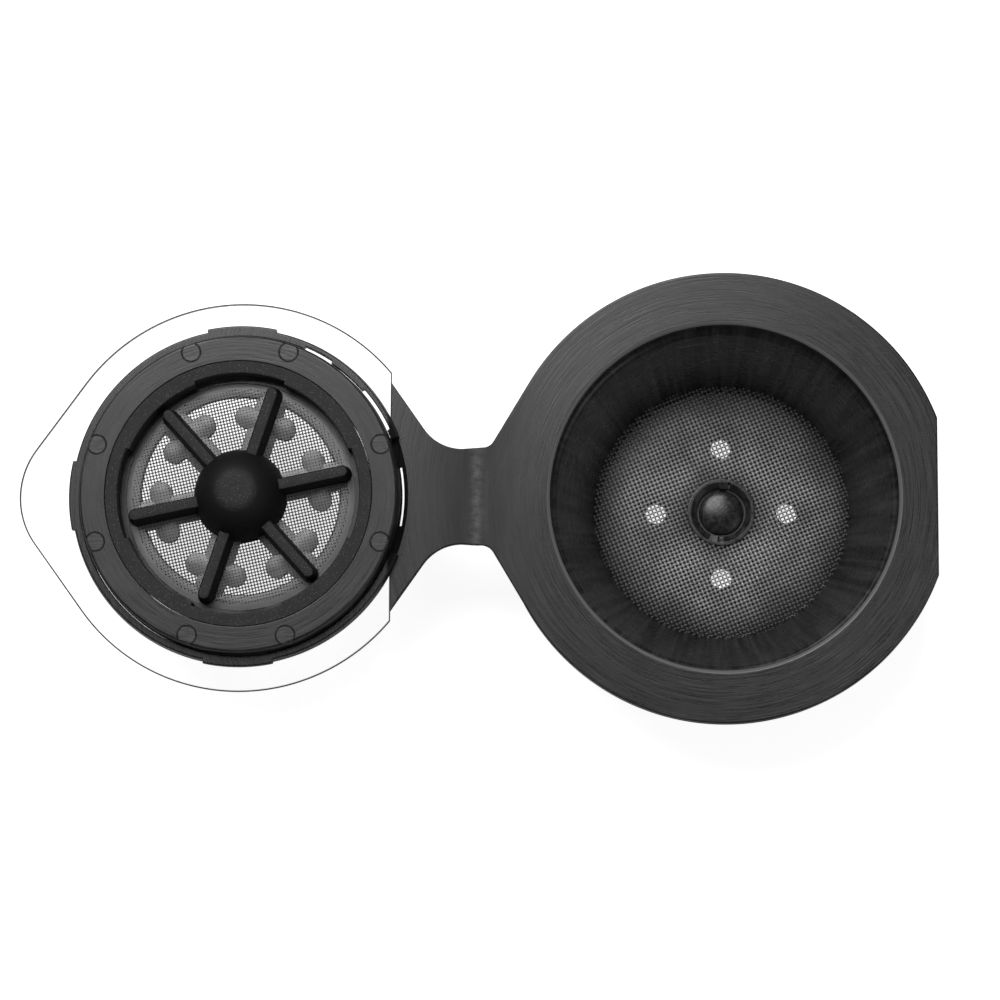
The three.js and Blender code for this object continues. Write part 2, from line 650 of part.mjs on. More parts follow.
const satinBlack = () => material(0x1b1c1d, 0.42);
const grainedBlack = () => material(0x222324, 0.7);
const steelCloth = () => material(0x6f7072, 0.35, 1);
const clearSheet = new THREE.MeshStandardMaterial({
  color: 0xf2f4f5,
  roughness: 0.08,
  metalness: 0,
  transparent: true,
  opacity: 0.2,
});

const cup = new THREE.Group();
const cupSieve = sieve(
  CUP_SIEVE_RADIUS, CUP_SIEVE_HOLE_RADIUS, CUP_SIEVE_TURN, CUP_FLOOR + LEDGE_HEIGHT);
cup.add(named('cup_body', cupBody(), satinBlack()));
cup.add(named('cup_sieve', cupSieve, steelCloth()));
cup.add(named('floor_socket', socket(), satinBlack()));
cup.add(named('floor_plug', plug(), satinBlack()));

const lid = new THREE.Group();
const lidSieve = sieve(
  LID_SIEVE_RADIUS, BOSS_RADIUS + SIEVE_HOLE_CLEARANCE, LID_SIEVE_TURN, FRAME_TOP);
lid.add(named('lid_strap', lidStrap(), satinBlack()));
lid.add(named('clear_plate', clearPlate(), clearSheet));
lid.add(named('lid_ring', lidRing(), satinBlack()));
lid.add(named('retaining_ring', retainingRing(), grainedBlack()));
lid.add(named('filter_frame', filterFrame(), satinBlack()));
lid.add(named('lid_sieve', lidSieve, steelCloth()));
lid.add(named('lid_star', lidStar(), grainedBlack()));
lid.position.set(-LID_DISTANCE, 0, CUP_HEIGHT);

const capsule = new THREE.Group();
capsule.add(cup, lid);

export default capsule;
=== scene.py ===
"""Looks of a reusable coffee capsule that lies open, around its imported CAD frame.

The cup stands on the right and the lid lies open on the left, inner side up. Sizes in the
code are millimetres on the part's axes, and become metres where a mesh is made.
"""

import math

import bpy
import numpy as np
from mathutils import Matrix


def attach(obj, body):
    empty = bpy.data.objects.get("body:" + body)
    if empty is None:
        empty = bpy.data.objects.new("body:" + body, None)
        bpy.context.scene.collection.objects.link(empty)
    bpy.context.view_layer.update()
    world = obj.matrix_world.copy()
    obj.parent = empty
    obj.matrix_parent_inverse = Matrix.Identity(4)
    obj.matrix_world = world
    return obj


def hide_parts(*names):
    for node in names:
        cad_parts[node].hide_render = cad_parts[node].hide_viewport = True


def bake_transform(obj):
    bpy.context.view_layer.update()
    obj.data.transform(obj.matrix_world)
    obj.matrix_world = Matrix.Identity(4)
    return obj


bl_info = {
    "name": "Reusable Coffee Capsule",
    "version": (1, 0, 0),
    "blender": (4, 5, 0),
    "location": "View3D > Sidebar > Capsule",
    "description": "Builds an open reusable coffee capsule with its sieves, strap and filter lid",
    "category": "Add Mesh",
}

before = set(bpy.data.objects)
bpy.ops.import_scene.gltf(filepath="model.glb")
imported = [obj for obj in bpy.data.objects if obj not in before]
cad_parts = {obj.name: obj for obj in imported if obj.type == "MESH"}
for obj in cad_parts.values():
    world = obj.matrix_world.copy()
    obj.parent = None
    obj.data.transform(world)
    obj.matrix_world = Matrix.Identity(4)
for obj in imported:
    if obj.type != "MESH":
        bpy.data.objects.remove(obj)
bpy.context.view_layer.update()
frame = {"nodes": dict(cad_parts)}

MM = 0.001
CUP_AXIS = (0.0, 0.0, 0.0)
LID_AXIS = (-68.3, 0.0, 21.0)
SHARP = 0.0005

# Cup and flange
CUP_HEIGHT = 21.0
CUP_FLOOR = 2.2
LEDGE_TOP = 2.8
CONE_TOP = 17.1
SHOULDER_HEIGHT = 17.475
FLOOR_RADIUS = 17.9
FOOT_RADIUS = 20.8
MOUTH_RADIUS = 24.55
SHOULDER_RADIUS = 26.55
FLANGE_RADIUS = 32.0
FLANGE_UNDERSIDE = 18.0
FLAT_DISTANCE = 30.0
FLARE_ANGLE = 30.8
NECK_ANGLE = 13.79
NECK_CUT = 32.5
DRAIN_RADIUS = 1.5
DRAIN_DISTANCE = 9.55
DRAIN_CHAMFER = 0.15
COLLAR_RADIUS = 4.9
COLLAR_BORE = 3.55
COLLAR_HEIGHT = 1.15
PLUG_RADIUS = 3.25

# Strap. Arcs are centre x, centre y and radius
STRAP_THICKNESS = 1.0
HINGE_X = -34.15
CREASE_ZONE = (-35.4, -32.9)
FLARE_POINT = (-27.487, 16.385)
FLARE_SLOPE = 1.6775
FILLET_START = -32.557
NECK_FILLET = (-34.10, 8.8, 1.8)
WAIST = 6.8
FAN_CUT = 28.5
CHORD = 21.3
FAN_SLOPE = math.tan(math.radians(55))
FAN_FLANK = 46.66
FAN_HALF_EDGE = 16.246
FAN_FLANK_ANGLE = 20.33
FAN_NECK_ANGLE = 14.64
FAN_ARC = (31.35, 13.4, 6.6)
# Inner radius, outer radius, depth
RECESS = (22.3, 23.7, 0.45)
# Inner radius, outer radius, half angle
SLOT = (22.88, 23.16, 10.5)
RIM_HEIGHT = 1.4
RIM_FOOT_ANGLE = 20.6
RIM_SLITS = ((24, 41), (56, 67))

# Lid
PLATE_RADIUS = 27.7
PLATE_HOLE = 17.7
PLATE_THICKNESS = 0.6
PLATE_CORNER_ANGLE = 39.74
# Distance of the tip's centre, its radius, its half angle
PLATE_TIP = (20.0, 11.5, 12.94)
TANGENT_ANGLE = 35.9
RING_HEIGHT = 3.7
RING_BORE = 18.84
LUG_ANGLES = (90, 180, 270)
LUG_RADIUS = 23.5
LUG_HALF_WIDTH = 4.2
POCKET_ANGLE = 11.78
# Distance from the axis, angle, radius
PIN_MARK = (21.2, math.radians(19), 1.33)
STAR_ANGLES = range(12, 372, 60)

# Wire cloths
CUP_CLOTH_RADIUS = 18.7
CUP_CLOTH_HOLE = 4.85
CUP_CLOTH_TURN = 22
LID_CLOTH_RADIUS = 15.35
LID_CLOTH_HOLE = 5.0
LID_CLOTH_TURN = 13.6

# Greys of small marks, painted glints and painted shade, as linear values
DUST_GREY = (0.15, 0.15, 0.15)
GLINT_GREY = (0.3, 0.3, 0.3)
SCRATCH_GREY = (0.08, 0.08, 0.08)
OUTLINE_GREY = (0.001, 0.001, 0.001)
CHANNEL_SHADE_GREY = (0.0015, 0.0015, 0.0015)

# Stage, in metres and degrees
STAGE_MIDDLE = (-0.034, 0.0, 0.02)
CAMERA_LENS = 128.51
CAMERA_PLACE = (-0.012469, -0.066458, 0.519826)
CAMERA_TURN = (7.5324, 2.1622, 0.25)
FLOOR_GLOW = 0.86
WORLD_GLOSSY = 0.08
WORLD_DIFFUSE = 0.12


# ---- sizes and colours -------------------------------------------------------------


class CapsuleSizes(bpy.types.PropertyGroup):
    """Sizes that change the looks and leave the frame alone."""

    edge: bpy.props.FloatProperty(
        name="Edge radius",
        description="Rounding of the moulded edges",
        default=0.00022,
        unit="LENGTH",
    )
    cup_pitch: bpy.props.FloatProperty(
        name="Cup cloth pitch",
        description="Distance between the wires of the cup's sieve",
        default=0.00058,
        unit="LENGTH",
    )
    cup_wire: bpy.props.FloatProperty(
        name="Cup cloth wire",
        description="Diameter of the wires of the cup's sieve",
        default=0.00024,
        unit="LENGTH",
    )
    lid_pitch: bpy.props.FloatProperty(
        name="Lid cloth pitch",
        description="Distance between the wires of the lid's sieve",
        default=0.00044,
        unit="LENGTH",
    )
    lid_wire: bpy.props.FloatProperty(
        name="Lid cloth wire",
        description="Diameter of the wires of the lid's sieve",
        default=0.00018,
        unit="LENGTH",
    )
    bulge: bpy.props.FloatProperty(
        name="Cup cloth bulge",
        description="How far the cup's sieve rises between its hub and its edge",
        default=0.0009,
        unit="LENGTH",
    )
    groove: bpy.props.FloatProperty(
        name="Hinge groove",
        description="Depth of the groove under the strap's crease",
        default=0.0006,
        unit="LENGTH",
    )


class CapsuleColours(bpy.types.PropertyGroup):
    """Base colours of the finishes, as linear values."""

    satin: bpy.props.FloatVectorProperty(
        name="Satin black",
        description="Moulded plastic of the cup, the strap and the lid ring",
        default=(0.009, 0.009, 0.0095),
        subtype="COLOR",
    )
    grained: bpy.props.FloatVectorProperty(
        name="Grained black",
        description="Fine-grained plastic of the retaining ring and the star",
        default=(0.015, 0.015, 0.0155),
        subtype="COLOR",
    )
    # Painted reflection: a pale grey, far lighter than the black plastic, that stands in for the
    # sheen of the plastic over the frame.
    frame: bpy.props.FloatVectorProperty(
        name="Plastic in the cloth",
        description="Pale grey of the plastic in the lid's cloth, a painted reflection",
        default=(0.17, 0.17, 0.172),
        subtype="COLOR",
    )
    # Painted highlight: a pale grey for the ring along the edge of the cup's mouth.
    painted_rim_highlight: bpy.props.FloatVectorProperty(
        name="Painted rim highlight",
        description="Painted highlight along the edge of the cup's mouth",
        default=(0.17, 0.17, 0.172),
        subtype="COLOR",
    )
    whitened: bpy.props.FloatVectorProperty(
        name="Whitened crease",
        description="Plastic that has turned pale where the strap bends",
        default=(0.12, 0.12, 0.122),
        subtype="COLOR",
    )
    steel: bpy.props.FloatVectorProperty(
        name="Steel cloth",
        description="Wires of both sieves",
        default=(0.62, 0.62, 0.62),
        subtype="COLOR",
    )
    clear: bpy.props.FloatVectorProperty(
        name="Clear plate's edge",
        description="Grey that the clear plate's cut edge shows",
        default=(0.03, 0.03, 0.031),
        subtype="COLOR",
    )
    floor: bpy.props.FloatVectorProperty(
        name="Floor",
        description="Pale floor below the capsule",
        default=(0.8, 0.8, 0.8),
        subtype="COLOR",
    )


# ---- surfaces ----------------------------------------------------------------------


def rounded(profile, radius, steps=5):
    """Profile with each corner replaced by a quadratic curve: from a cut distance before the
    corner, pulled by the corner, to the same distance after it. A point 0.03 mm further on
    both sides keeps the straight parts flat in smooth shading. Works on arrays of profiles."""
    p = np.asarray(profile, float)
    before = np.roll(p, 1, -2) - p
    after = np.roll(p, -1, -2) - p
    long_before = np.maximum(np.linalg.norm(before, axis=-1), 1e-9)
    long_after = np.maximum(np.linalg.norm(after, axis=-1), 1e-9)
    cut = np.minimum(radius, 0.45 * np.minimum(long_before, long_after))[..., None]
    before /= long_before[..., None]
    after /= long_after[..., None]
    start = (p + before * cut)[..., None, :]
    end = (p + after * cut)[..., None, :]
    t = np.linspace(0, 1, steps)[:, None]
    curve = (1 - t) ** 2 * start + 2 * t * (1 - t) * p[..., None, :] + t**2 * end
    first = p + before * np.minimum(cut + 0.03, 0.49 * long_before[..., None])
    last = p + after * np.minimum(cut + 0.03, 0.49 * long_after[..., None])
    curve = np.concatenate([first[..., None, :], curve, last[..., None, :]], -2)
    return curve.reshape(p.shape[:-2] + (-1, 2))


def turned(profile, angles, axis):
    """Point at each angle a and profile point (r, h): x = axis x + r cos a, y = axis y + r sin a,
    z = axis z + h. The profile may differ from angle to angle."""
    p = np.broadcast_to(profile, (len(angles), *np.shape(profile)[-2:]))
    a = np.radians(angles)[:, None]
    return np.stack(
        [
            axis[0] + p[..., 0] * np.cos(a),
            axis[1] + p[..., 0] * np.sin(a),
            axis[2] + p[..., 1],
        ],
        -1,
    )


def section(angles, columns):
    """Profile at each angle: a point (radius, height) a column, each a number or one value an
    angle."""
    flat = np.zeros(len(angles))
    return np.stack([np.stack([flat + r, flat + h], -1) for r, h in columns], 1)


def circle_angles(*edges, step=1.5, soft=0.15):
    """Angles once round, one step apart, with a close pair on both sides of each edge."""
    near = [e + d for e in edges for d in (-soft, soft)]
    every = np.concatenate([np.arange(0, 360, step), near])
    return np.unique(np.round(np.mod(every, 360), 6))


def from_direction(angles, direction):
    """Smallest angle between each angle and a direction, from 0 to 180 degrees."""
    return np.abs((angles - direction + 180) % 360 - 180)


def island(grid, wrap_rows=True, wrap_columns=True, capped=False):
    """Closed surface over a grid of points: one four-sided face between neighbours, doubles
    merged, faces turned outwards by the sign of the volume, and both ends capped if asked."""
    rows, columns = grid.shape[:2]
    i, j = np.meshgrid(
        np.arange(rows - (not wrap_rows)),
        np.arange(columns - (not wrap_columns)),
        indexing="ij",
    )
    i2, j2 = (i + 1) % rows, (j + 1) % columns
    corners = [i * columns + j, i2 * columns + j, i2 * columns + j2, i * columns + j2]
    faces = np.stack(corners, -1).reshape(-1, 4)
    points = grid.reshape(-1, 3)
    _keys, first, merged = np.unique(
        np.round(points, 3), axis=0, return_index=True, return_inverse=True
    )
    faces = merged.reshape(-1)[faces]
    points = points[first]
    same = faces == np.roll(faces, -1, 1)
    whole = faces[same.sum(1) == 0]
    three = faces[same.sum(1) == 1]
    pick = (same[same.sum(1) == 1].argmax(1)[:, None] + np.arange(1, 4)) % 4
    threes = np.take_along_axis(three, pick, 1)
    volume = sum(
        np.einsum("ij,ij->i", points[a], np.cross(points[b], points[c])).sum()
        for a, b, c in (whole[:, :3].T, whole[:, [0, 2, 3]].T, threes.T)
        if len(a)
    )
    polygons = whole.tolist() + threes.tolist()
    if capped:
        ends = merged.reshape(rows, columns)
        polygons += [ends[0][::-1].tolist(), ends[-1].tolist()]
    if volume < 0:
        polygons = [face[::-1] for face in polygons]
    return points, polygons


def make_piece(name, islands, body, finish, replaces=(), crease=32):
    """One mesh object from one or more islands, smooth except at creases, on its CAD body. A
    third entry of an island is kept as the attribute crest."""
    points, faces, start = [], [], 0
    for corners, polygons, *_ in islands:
        points.append(corners)
        faces += [[v + start for v in face] for face in polygons]
        start += len(corners)
    mesh = bpy.data.meshes.new(name)
    mesh.from_pydata((np.vstack(points) * MM).tolist(), [], faces)
    mesh.shade_smooth()
    mesh.set_sharp_from_angle(angle=math.radians(crease))
    mesh.materials.append(finish)
    if len(islands[0]) > 2:
        crest = mesh.attributes.new("crest", "FLOAT", "POINT")
        crest.data.foreach_set("value", np.concatenate([i[2] for i in islands]).astype("f4"))
    if mesh.validate():
        raise RuntimeError(f"{name}: the mesh had faces that are not valid")
    piece = bpy.data.objects.new(name, mesh)
    bpy.context.scene.collection.objects.link(piece)
    if body:
        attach(piece, body)
    if replaces:
        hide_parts(*replaces)
    return piece


# ---- cup ---------------------------------------------------------------------------


def flange_reach(angles):
    """Distance of the flange's edge from the axis: 32 mm, or 30 / cos a at the straight side,
    or 32 / cos (30.8 - b) along the tangents to the strap, b being the angle from -X, and at
    most the distance of the plane where the neck begins."""
    a = np.radians(angles)
    b = from_direction(angles, 180)
    side = FLAT_DISTANCE / np.maximum(np.cos(a), 1e-6)
    disc = np.where(np.cos(a) > FLAT_DISTANCE / FLANGE_RADIUS, side, FLANGE_RADIUS)
    tangent = FLANGE_RADIUS / np.cos(np.radians(FLARE_ANGLE - b))
    plane = NECK_CUT / np.maximum(np.cos(np.radians(b)), 1e-6)
    return np.where(b < FLARE_ANGLE, np.minimum(tangent, plane), disc)


def cup_walls(edge):
    """Ring section from the floor's border round the outer cone, the flange and its reach, the
    mouth and the inner cone, back to the floor, turned once about the cup's axis."""
    corner = math.degrees(math.acos(FLAT_DISTANCE / FLANGE_RADIUS))
    sides = [180 + k * b for b in (NECK_ANGLE, FLARE_ANGLE) for k in (-1, 1)]
    angles = circle_angles(corner, -corner, *sides, step=1.25, soft=0.01)
    reach = flange_reach(angles)
    disc = np.minimum(reach, FLANGE_RADIUS)
    strap_low = CUP_HEIGHT - STRAP_THICKNESS
    columns = [
        (FLOOR_RADIUS, 0),
        (FOOT_RADIUS - 0.5, 0),
        (FOOT_RADIUS, 0.5),
        (FOOT_RADIUS, LEDGE_TOP),
        (25.8, CONE_TOP),
        (SHOULDER_RADIUS, SHOULDER_HEIGHT),
        (SHOULDER_RADIUS, FLANGE_UNDERSIDE),
        (disc, FLANGE_UNDERSIDE),
        (disc, strap_low),
        (reach, strap_low),
        (reach, CUP_HEIGHT),
        (MOUTH_RADIUS + 0.4, CUP_HEIGHT),
        (MOUTH_RADIUS, CUP_HEIGHT - 0.38),
        (MOUTH_RADIUS, SHOULDER_HEIGHT),
        (23.8, CONE_TOP),
        (18.35, LEDGE_TOP),
        (FLOOR_RADIUS, LEDGE_TOP),
        (FLOOR_RADIUS, CUP_FLOOR),
    ]
    soft = np.full((len(angles), len(columns)), edge)
    soft[:, [4, 5, 6, 13, 14]] = 0.35
    soft[:, [11, 12]] = 0.14
    at_neck = from_direction(angles, 180) < NECK_ANGLE
    soft[np.ix_(at_neck, [8, 9, 10])] = SHARP
    return island(turned(rounded(section(angles, columns), soft), angles, CUP_AXIS))


def drained_floor():
    """Floor as four quarter sectors, each a ring section from its drain's edge to the sector's
    border: point = drain's centre + direction x distance, the distance to the border being the
    nearest of the two straight sides and the outer circle."""
    rim = FLOOR_RADIUS + 0.05
    diagonal = rim * 0.70711
    corner = math.degrees(math.atan2(diagonal, diagonal - DRAIN_DISTANCE))
    directions = np.unique(np.append(np.arange(0, 360, 6.0), [corner, 360 - corner]))
    a = np.radians(directions)
    c, s = np.cos(a), np.sin(a)
    sides = [
        np.where(k * s - c > 1e-6, DRAIN_DISTANCE / np.maximum(k * s - c, 1e-6), 1e6)
        for k in (1, -1)
    ]
    circle = -DRAIN_DISTANCE * c + np.sqrt(rim**2 - (DRAIN_DISTANCE * s) ** 2)
    border = np.minimum(np.minimum(*sides), circle)
    hole = np.full(len(a), DRAIN_RADIUS)
    bands = [
        (hole, DRAIN_CHAMFER),
        (hole, CUP_FLOOR - DRAIN_CHAMFER),
        (hole + DRAIN_CHAMFER, CUP_FLOOR),
        (border, CUP_FLOOR),
        (border, 0.0),
        (hole + DRAIN_CHAMFER, 0.0),
    ]
    rings = [np.stack([DRAIN_DISTANCE + d * c, d * s, 0 * a + h], -1) for d, h in bands]
    grid = np.stack(rings, 1)
    sectors = []
    for t in np.radians([0, 90, 180, 270]):
        spin = np.array([[np.cos(t), -np.sin(t), 0], [np.sin(t), np.cos(t), 0], [0, 0, 1]])
        sectors.append(island(grid @ spin.T))
    return sectors


def socket_collar(edge):
    """Ring section of the collar with its sloping lip, turned about the cup's axis. The lip's
    height drops in two slots and its inner side is raised to a ramp beside each. Slots and
    ramps are given as the angles of their middle and of their half width."""
    slots = ((74.75, 3.0), (270, 4.3))
    ramps = ((86.5, 8.6), (253.5, 8.2))
    edges = [c + k * h for c, h in slots + ramps for k in (-1, 1)]
    angles = circle_angles(*edges, step=3, soft=0.25)
    in_slot = np.any([from_direction(angles, c) < h for c, h in slots], 0)
    in_ramp = np.any([from_direction(angles, c) < h for c, h in ramps], 0) & ~in_slot
    top = CUP_FLOOR + COLLAR_HEIGHT
    lip = np.where(in_slot, top - 0.8, top)
    slope = np.where(in_slot, top - 0.8, np.where(in_ramp, top - 0.15, top - 0.55))
    bore = np.where(in_ramp, COLLAR_BORE - 0.15, COLLAR_BORE)
    columns = [
        (bore, CUP_FLOOR),
        (COLLAR_RADIUS, CUP_FLOOR),
        (COLLAR_RADIUS, top),
        (4.45, top),
        (4.4, lip),
        (bore, slope),
    ]
    profile = rounded(section(angles, columns), edge * 0.5, 4)
    return island(turned(profile, angles, CUP_AXIS))


def floor_button():
    """Dome of the plug: radius 3.25 cos t, height 0.9 sin t above a short upright side."""
    t = np.radians(np.linspace(0, 90, 14))
    side = CUP_FLOOR + 0.3
    dome = np.stack([PLUG_RADIUS * np.cos(t), side + 0.9 * np.sin(t)], -1)
    foot = [[0, CUP_FLOOR], [PLUG_RADIUS - 0.1, CUP_FLOOR], [PLUG_RADIUS, CUP_FLOOR + 0.1]]
    return island(turned(np.vstack([foot, dome]), circle_angles(step=5), CUP_AXIS))


# ---- woven wire --------------------------------------------------------------------


def woven_wires(pitch, wire, radius, hole, turn, phase, surface, axis):
    """Wires of one direction of a plain weave: along a wire, height = (wire / 2) cos (pi u /
    pitch + pi row + phase), on a surface that is a function of x and y. Each wire is a
    four-sided tube, kept where it lies between the hole's edge and the outer edge, and its
    ends are capped. The third result is 1 where a wire is on top and 0 from mid height down."""
    step = pitch / 4
    rows = np.arange(-int(radius / pitch), int(radius / pitch) + 1)
    along = np.arange(-int(radius / step) - 1, int(radius / step) + 2)
    across, line = np.meshgrid(rows * pitch, along * step, indexing="ij")
    distance = np.hypot(across, line)
    kept = (distance < radius) & (distance > hole)
    kept &= np.roll(kept, 1, 1) | np.roll(kept, -1, 1)
    wave = 0.5 * wire * np.cos(np.pi * line / pitch + np.pi * rows[:, None] + phase)
    c, s = math.cos(math.radians(turn)), math.sin(math.radians(turn))
    x = line * c - across * s
    y = line * s + across * c
    height = surface(x, y) + wave
    half = wire / 2
    around = [(half, 0.0), (0.0, half), (-half, 0.0), (0.0, -half)]
    places = [
        np.stack([axis[0] + x - side * s, axis[1] + y + side * c, axis[2] + height + lift], -1)
        for side, lift in around
    ]
    points = np.stack(places, 2)[kept].reshape(-1, 3)
    number = np.cumsum(kept.reshape(-1)).reshape(kept.shape) - 1
    crest = np.repeat(np.clip(2 * wave[kept] / wire, 0, 1), 4)
    joined = kept[:, :-1] & kept[:, 1:]
    a = number[:, :-1][joined][:, None] * 4
    b = number[:, 1:][joined][:, None] * 4
    k = np.arange(4)
    k2 = (k + 1) % 4
    sides = np.stack([a + k, a + k2, b + k2, b + k], -1).reshape(-1, 4)
    starts = number[kept & ~np.roll(kept, 1, 1)][:, None] * 4 + k[::-1]
    ends = number[kept & ~np.roll(kept, -1, 1)][:, None] * 4 + k
    faces = np.vstack([sides[:, ::-1], starts[:, ::-1], ends[:, ::-1]])
    return points, faces.tolist(), crest


def cup_cloth_height(bulge):
    """Height of the cup's cloth: a broad swell between hub and edge, bulge x sin squared,
    with a slow ripple of the fabric."""

    def height(x, y):
        r = np.hypot(x, y)
        a = np.arctan2(y, x)
        share = np.clip((r - CUP_CLOTH_HOLE) / (CUP_CLOTH_RADIUS - CUP_CLOTH_HOLE), 0, 1)
        swell = bulge * np.sin(np.pi * share) ** 2
        ripple = 0.06 * np.sin(3 * a + 0.6) * np.sin(np.pi * share)
        ripple += 0.035 * np.sin(5 * a + r * 0.35) * np.sin(np.pi * share)
        return LEDGE_TOP + 0.3 + swell + ripple

    return height


def lid_cloth_height(x, y):
    """Height of the lid's cloth, flat on its frame with a slight ripple."""
    return 0.12 + 0.012 * np.sin(0.55 * x + 0.8) * np.sin(0.5 * y)


# ---- strap and plate ---------------------------------------------------------------


def neck_width(x):
    """Half width of the neck at each x: straight tangent of the flange, a fillet of 1.8 mm, a
    line to the waist, and an arc of 6.6 mm into the fan."""
    fillet_x, fillet_y, fillet_radius = NECK_FILLET
    arc_x = LID_AXIS[0] + FAN_ARC[0]
    tangent = FLARE_POINT[1] + (x - FLARE_POINT[0]) * FLARE_SLOPE
    fillet = fillet_y - np.sqrt(np.maximum(fillet_radius**2 - (x - fillet_x) ** 2, 0))
    line = WAIST + (x - arc_x) * 0.2 / (fillet_x - arc_x)
    bend = FAN_ARC[1] - np.sqrt(FAN_ARC[2] ** 2 - np.minimum(x - arc_x, 0) ** 2)
    return np.select([x > FILLET_START, x > fillet_x, x > arc_x], [tangent, fillet, line], bend)


def hinge_web(groove, edge):
    """Neck of the strap: a rounded rectangle of the neck's width, 1 mm thick, carried along X,
    with a groove under the crease: depth x exp of minus the square of the distance / 0.55."""
    far = LID_AXIS[0] + FAN_CUT
    x = np.unique(np.append(np.linspace(far, -NECK_CUT, 30), np.linspace(*CREASE_ZONE, 41)))
    w = neck_width(x)
    bottom = CUP_HEIGHT - STRAP_THICKNESS + groove * np.exp(-(((x - HINGE_X) / 0.55) ** 2))
    columns = [(-w, bottom), (w, bottom), (w, CUP_HEIGHT), (-w, CUP_HEIGHT)]
    loop = rounded(section(x, columns), edge)
    along = np.broadcast_to(x[:, None, None], (*loop.shape[:2], 1))
    return island(np.concatenate([along, loop], -1), wrap_rows=False, capped=True)


def fan_reach(angles):
    """Distance of the fan's outline from the lid's axis, by the angle from +X: the plane where
    the neck begins, the fillet's near side, or the straight flank at 55 degrees."""
    b = np.abs(angles)
    centre = math.hypot(FAN_ARC[0], FAN_ARC[1])
    off = np.radians(math.degrees(math.atan2(FAN_ARC[1], FAN_ARC[0])) - b)
    drop = np.sqrt(np.maximum(FAN_ARC[2] ** 2 - (centre * np.sin(off)) ** 2, 0))
    near = centre * np.cos(off) - drop
    t = np.radians(b)
    flank = FAN_FLANK / (np.sin(t) + FAN_SLOPE * np.cos(t))
    plane = FAN_CUT / np.cos(t)
    return np.select([b < FAN_NECK_ANGLE, b < FAN_FLANK_ANGLE], [plane, near], flank)


def fan_plate(edge):
    """Fan about the lid's axis: at each angle a section from the straight edge (21.3 / cos) to
    the outline, 1 mm thick, with a shallow recess beside the lid ring. Behind the slot the
    section starts at the slot's outer side."""
    slot_inner, slot_outer, slot_angle = SLOT
    recess_inner, recess_outer, recess_depth = RECESS
    limit = math.degrees(math.atan2(FAN_HALF_EDGE, CHORD))
    recess_end = math.degrees(math.acos(recess_inner / recess_outer))
    marks = [FAN_NECK_ANGLE, recess_end, slot_angle]
    edges = [k * m + d for m in marks for k in (1, -1) for d in (-0.06, 0.06)]
    angles = np.unique(np.concatenate([np.linspace(-limit, limit, 121), edges]))
    b = np.abs(angles)
    cos = np.cos(np.radians(angles))
    reach = np.maximum(fan_reach(angles), CHORD / cos)
    inner = np.where(b < slot_angle, slot_outer, CHORD / cos)
    deep = b < recess_end
    first = np.where(deep, recess_inner / cos, inner + 0.3 * (reach - inner))
    first = np.maximum(first, inner + 0.01 * (reach - inner))
    last = np.where(deep, recess_outer, inner + 0.5 * (reach - inner))
    floor = np.where(deep, -recess_depth, 0.0)
    start = np.where(deep & (b < slot_angle), floor, 0.0)
    columns = [
        (inner, -STRAP_THICKNESS),
        (reach, -STRAP_THICKNESS),
        (reach, 0.0),
        (last, 0.0),
        (last, floor),
        (first, floor),
        (first, start),
        (inner, start),
    ]
    soft = np.full((len(angles), len(columns)), 0.03)
    soft[:, [1, 2]] = edge
    soft[np.ix_(b < FAN_NECK_ANGLE, [1, 2])] = SHARP
    plate = turned(rounded(section(angles, columns), soft, 4), angles, LID_AXIS)
    bridge_angles = np.linspace(-slot_angle - 0.4, slot_angle + 0.4, 25)
    near = CHORD / np.cos(np.radians(bridge_angles))
    low, high = -STRAP_THICKNESS, -recess_depth - 0.005
    box = section(bridge_angles, [(near, low), (slot_inner, low), (slot_inner, high), (near, high)])
    bridge = turned(box, bridge_angles, LID_AXIS)
    return [island(plate, wrap_rows=False), island(bridge, wrap_rows=False, capped=True)]


def low_rim(edge):
    """Rim around the lid ring, from one foot on the fan round to the other: a low section
    whose outer radius steps outwards around each lug, and which stands off the ring in two
    slits."""
    edges = [c + k * POCKET_ANGLE for c in LUG_ANGLES for k in (-1, 1)]
    edges += [end for slit in RIM_SLITS for end in slit]
    near = [e + d for e in edges for d in (-0.12, 0.12)]
    once = np.linspace(RIM_FOOT_ANGLE, 360 - RIM_FOOT_ANGLE, 260)
    angles = np.unique(np.concatenate([once, near]))
    at_lug = np.min([from_direction(angles, c) for c in LUG_ANGLES], 0) < POCKET_ANGLE
    in_slit = np.any([(angles > start) & (angles < end) for start, end in RIM_SLITS], 0)
    inner = np.where(in_slit, 23.1, 22.73)
    base = np.where(at_lug, 24.25, 24.0)
    top = np.where(at_lug, 24.25, 23.75)
    columns = [(inner, 0.0), (base, 0.0), (top, RIM_HEIGHT), (inner, RIM_HEIGHT)]
    profile = rounded(section(angles, columns), np.array([0.02, 0.05, edge, edge * 0.6]))
    return island(turned(profile, angles, LID_AXIS), wrap_rows=False, capped=True)


def plate_reach(angles):
    """Distance of the clear plate's outline: 27.7 mm, the straight edge at 21.3 / cos a, the
    tangent 27.7 / cos (a - 144.1), or the blunt tip's circle of 11.5 mm about x = -20."""
    tip_x, tip_radius, tip_angle = PLATE_TIP
    b = from_direction(angles, 180)
    t = np.radians(b)
    tip = tip_x * np.cos(t) + np.sqrt(np.maximum(tip_radius**2 - (tip_x * np.sin(t)) ** 2, 0))
    tangent = PLATE_RADIUS / np.cos(np.radians(TANGENT_ANGLE - b))
    a = np.radians(from_direction(angles, 0))
    chord = CHORD / np.maximum(np.cos(a), 1e-6)
    body = np.where(np.cos(a) > CHORD / PLATE_RADIUS, chord, PLATE_RADIUS)
    return np.select([b < tip_angle, b < TANGENT_ANGLE], [tip, tangent], body)


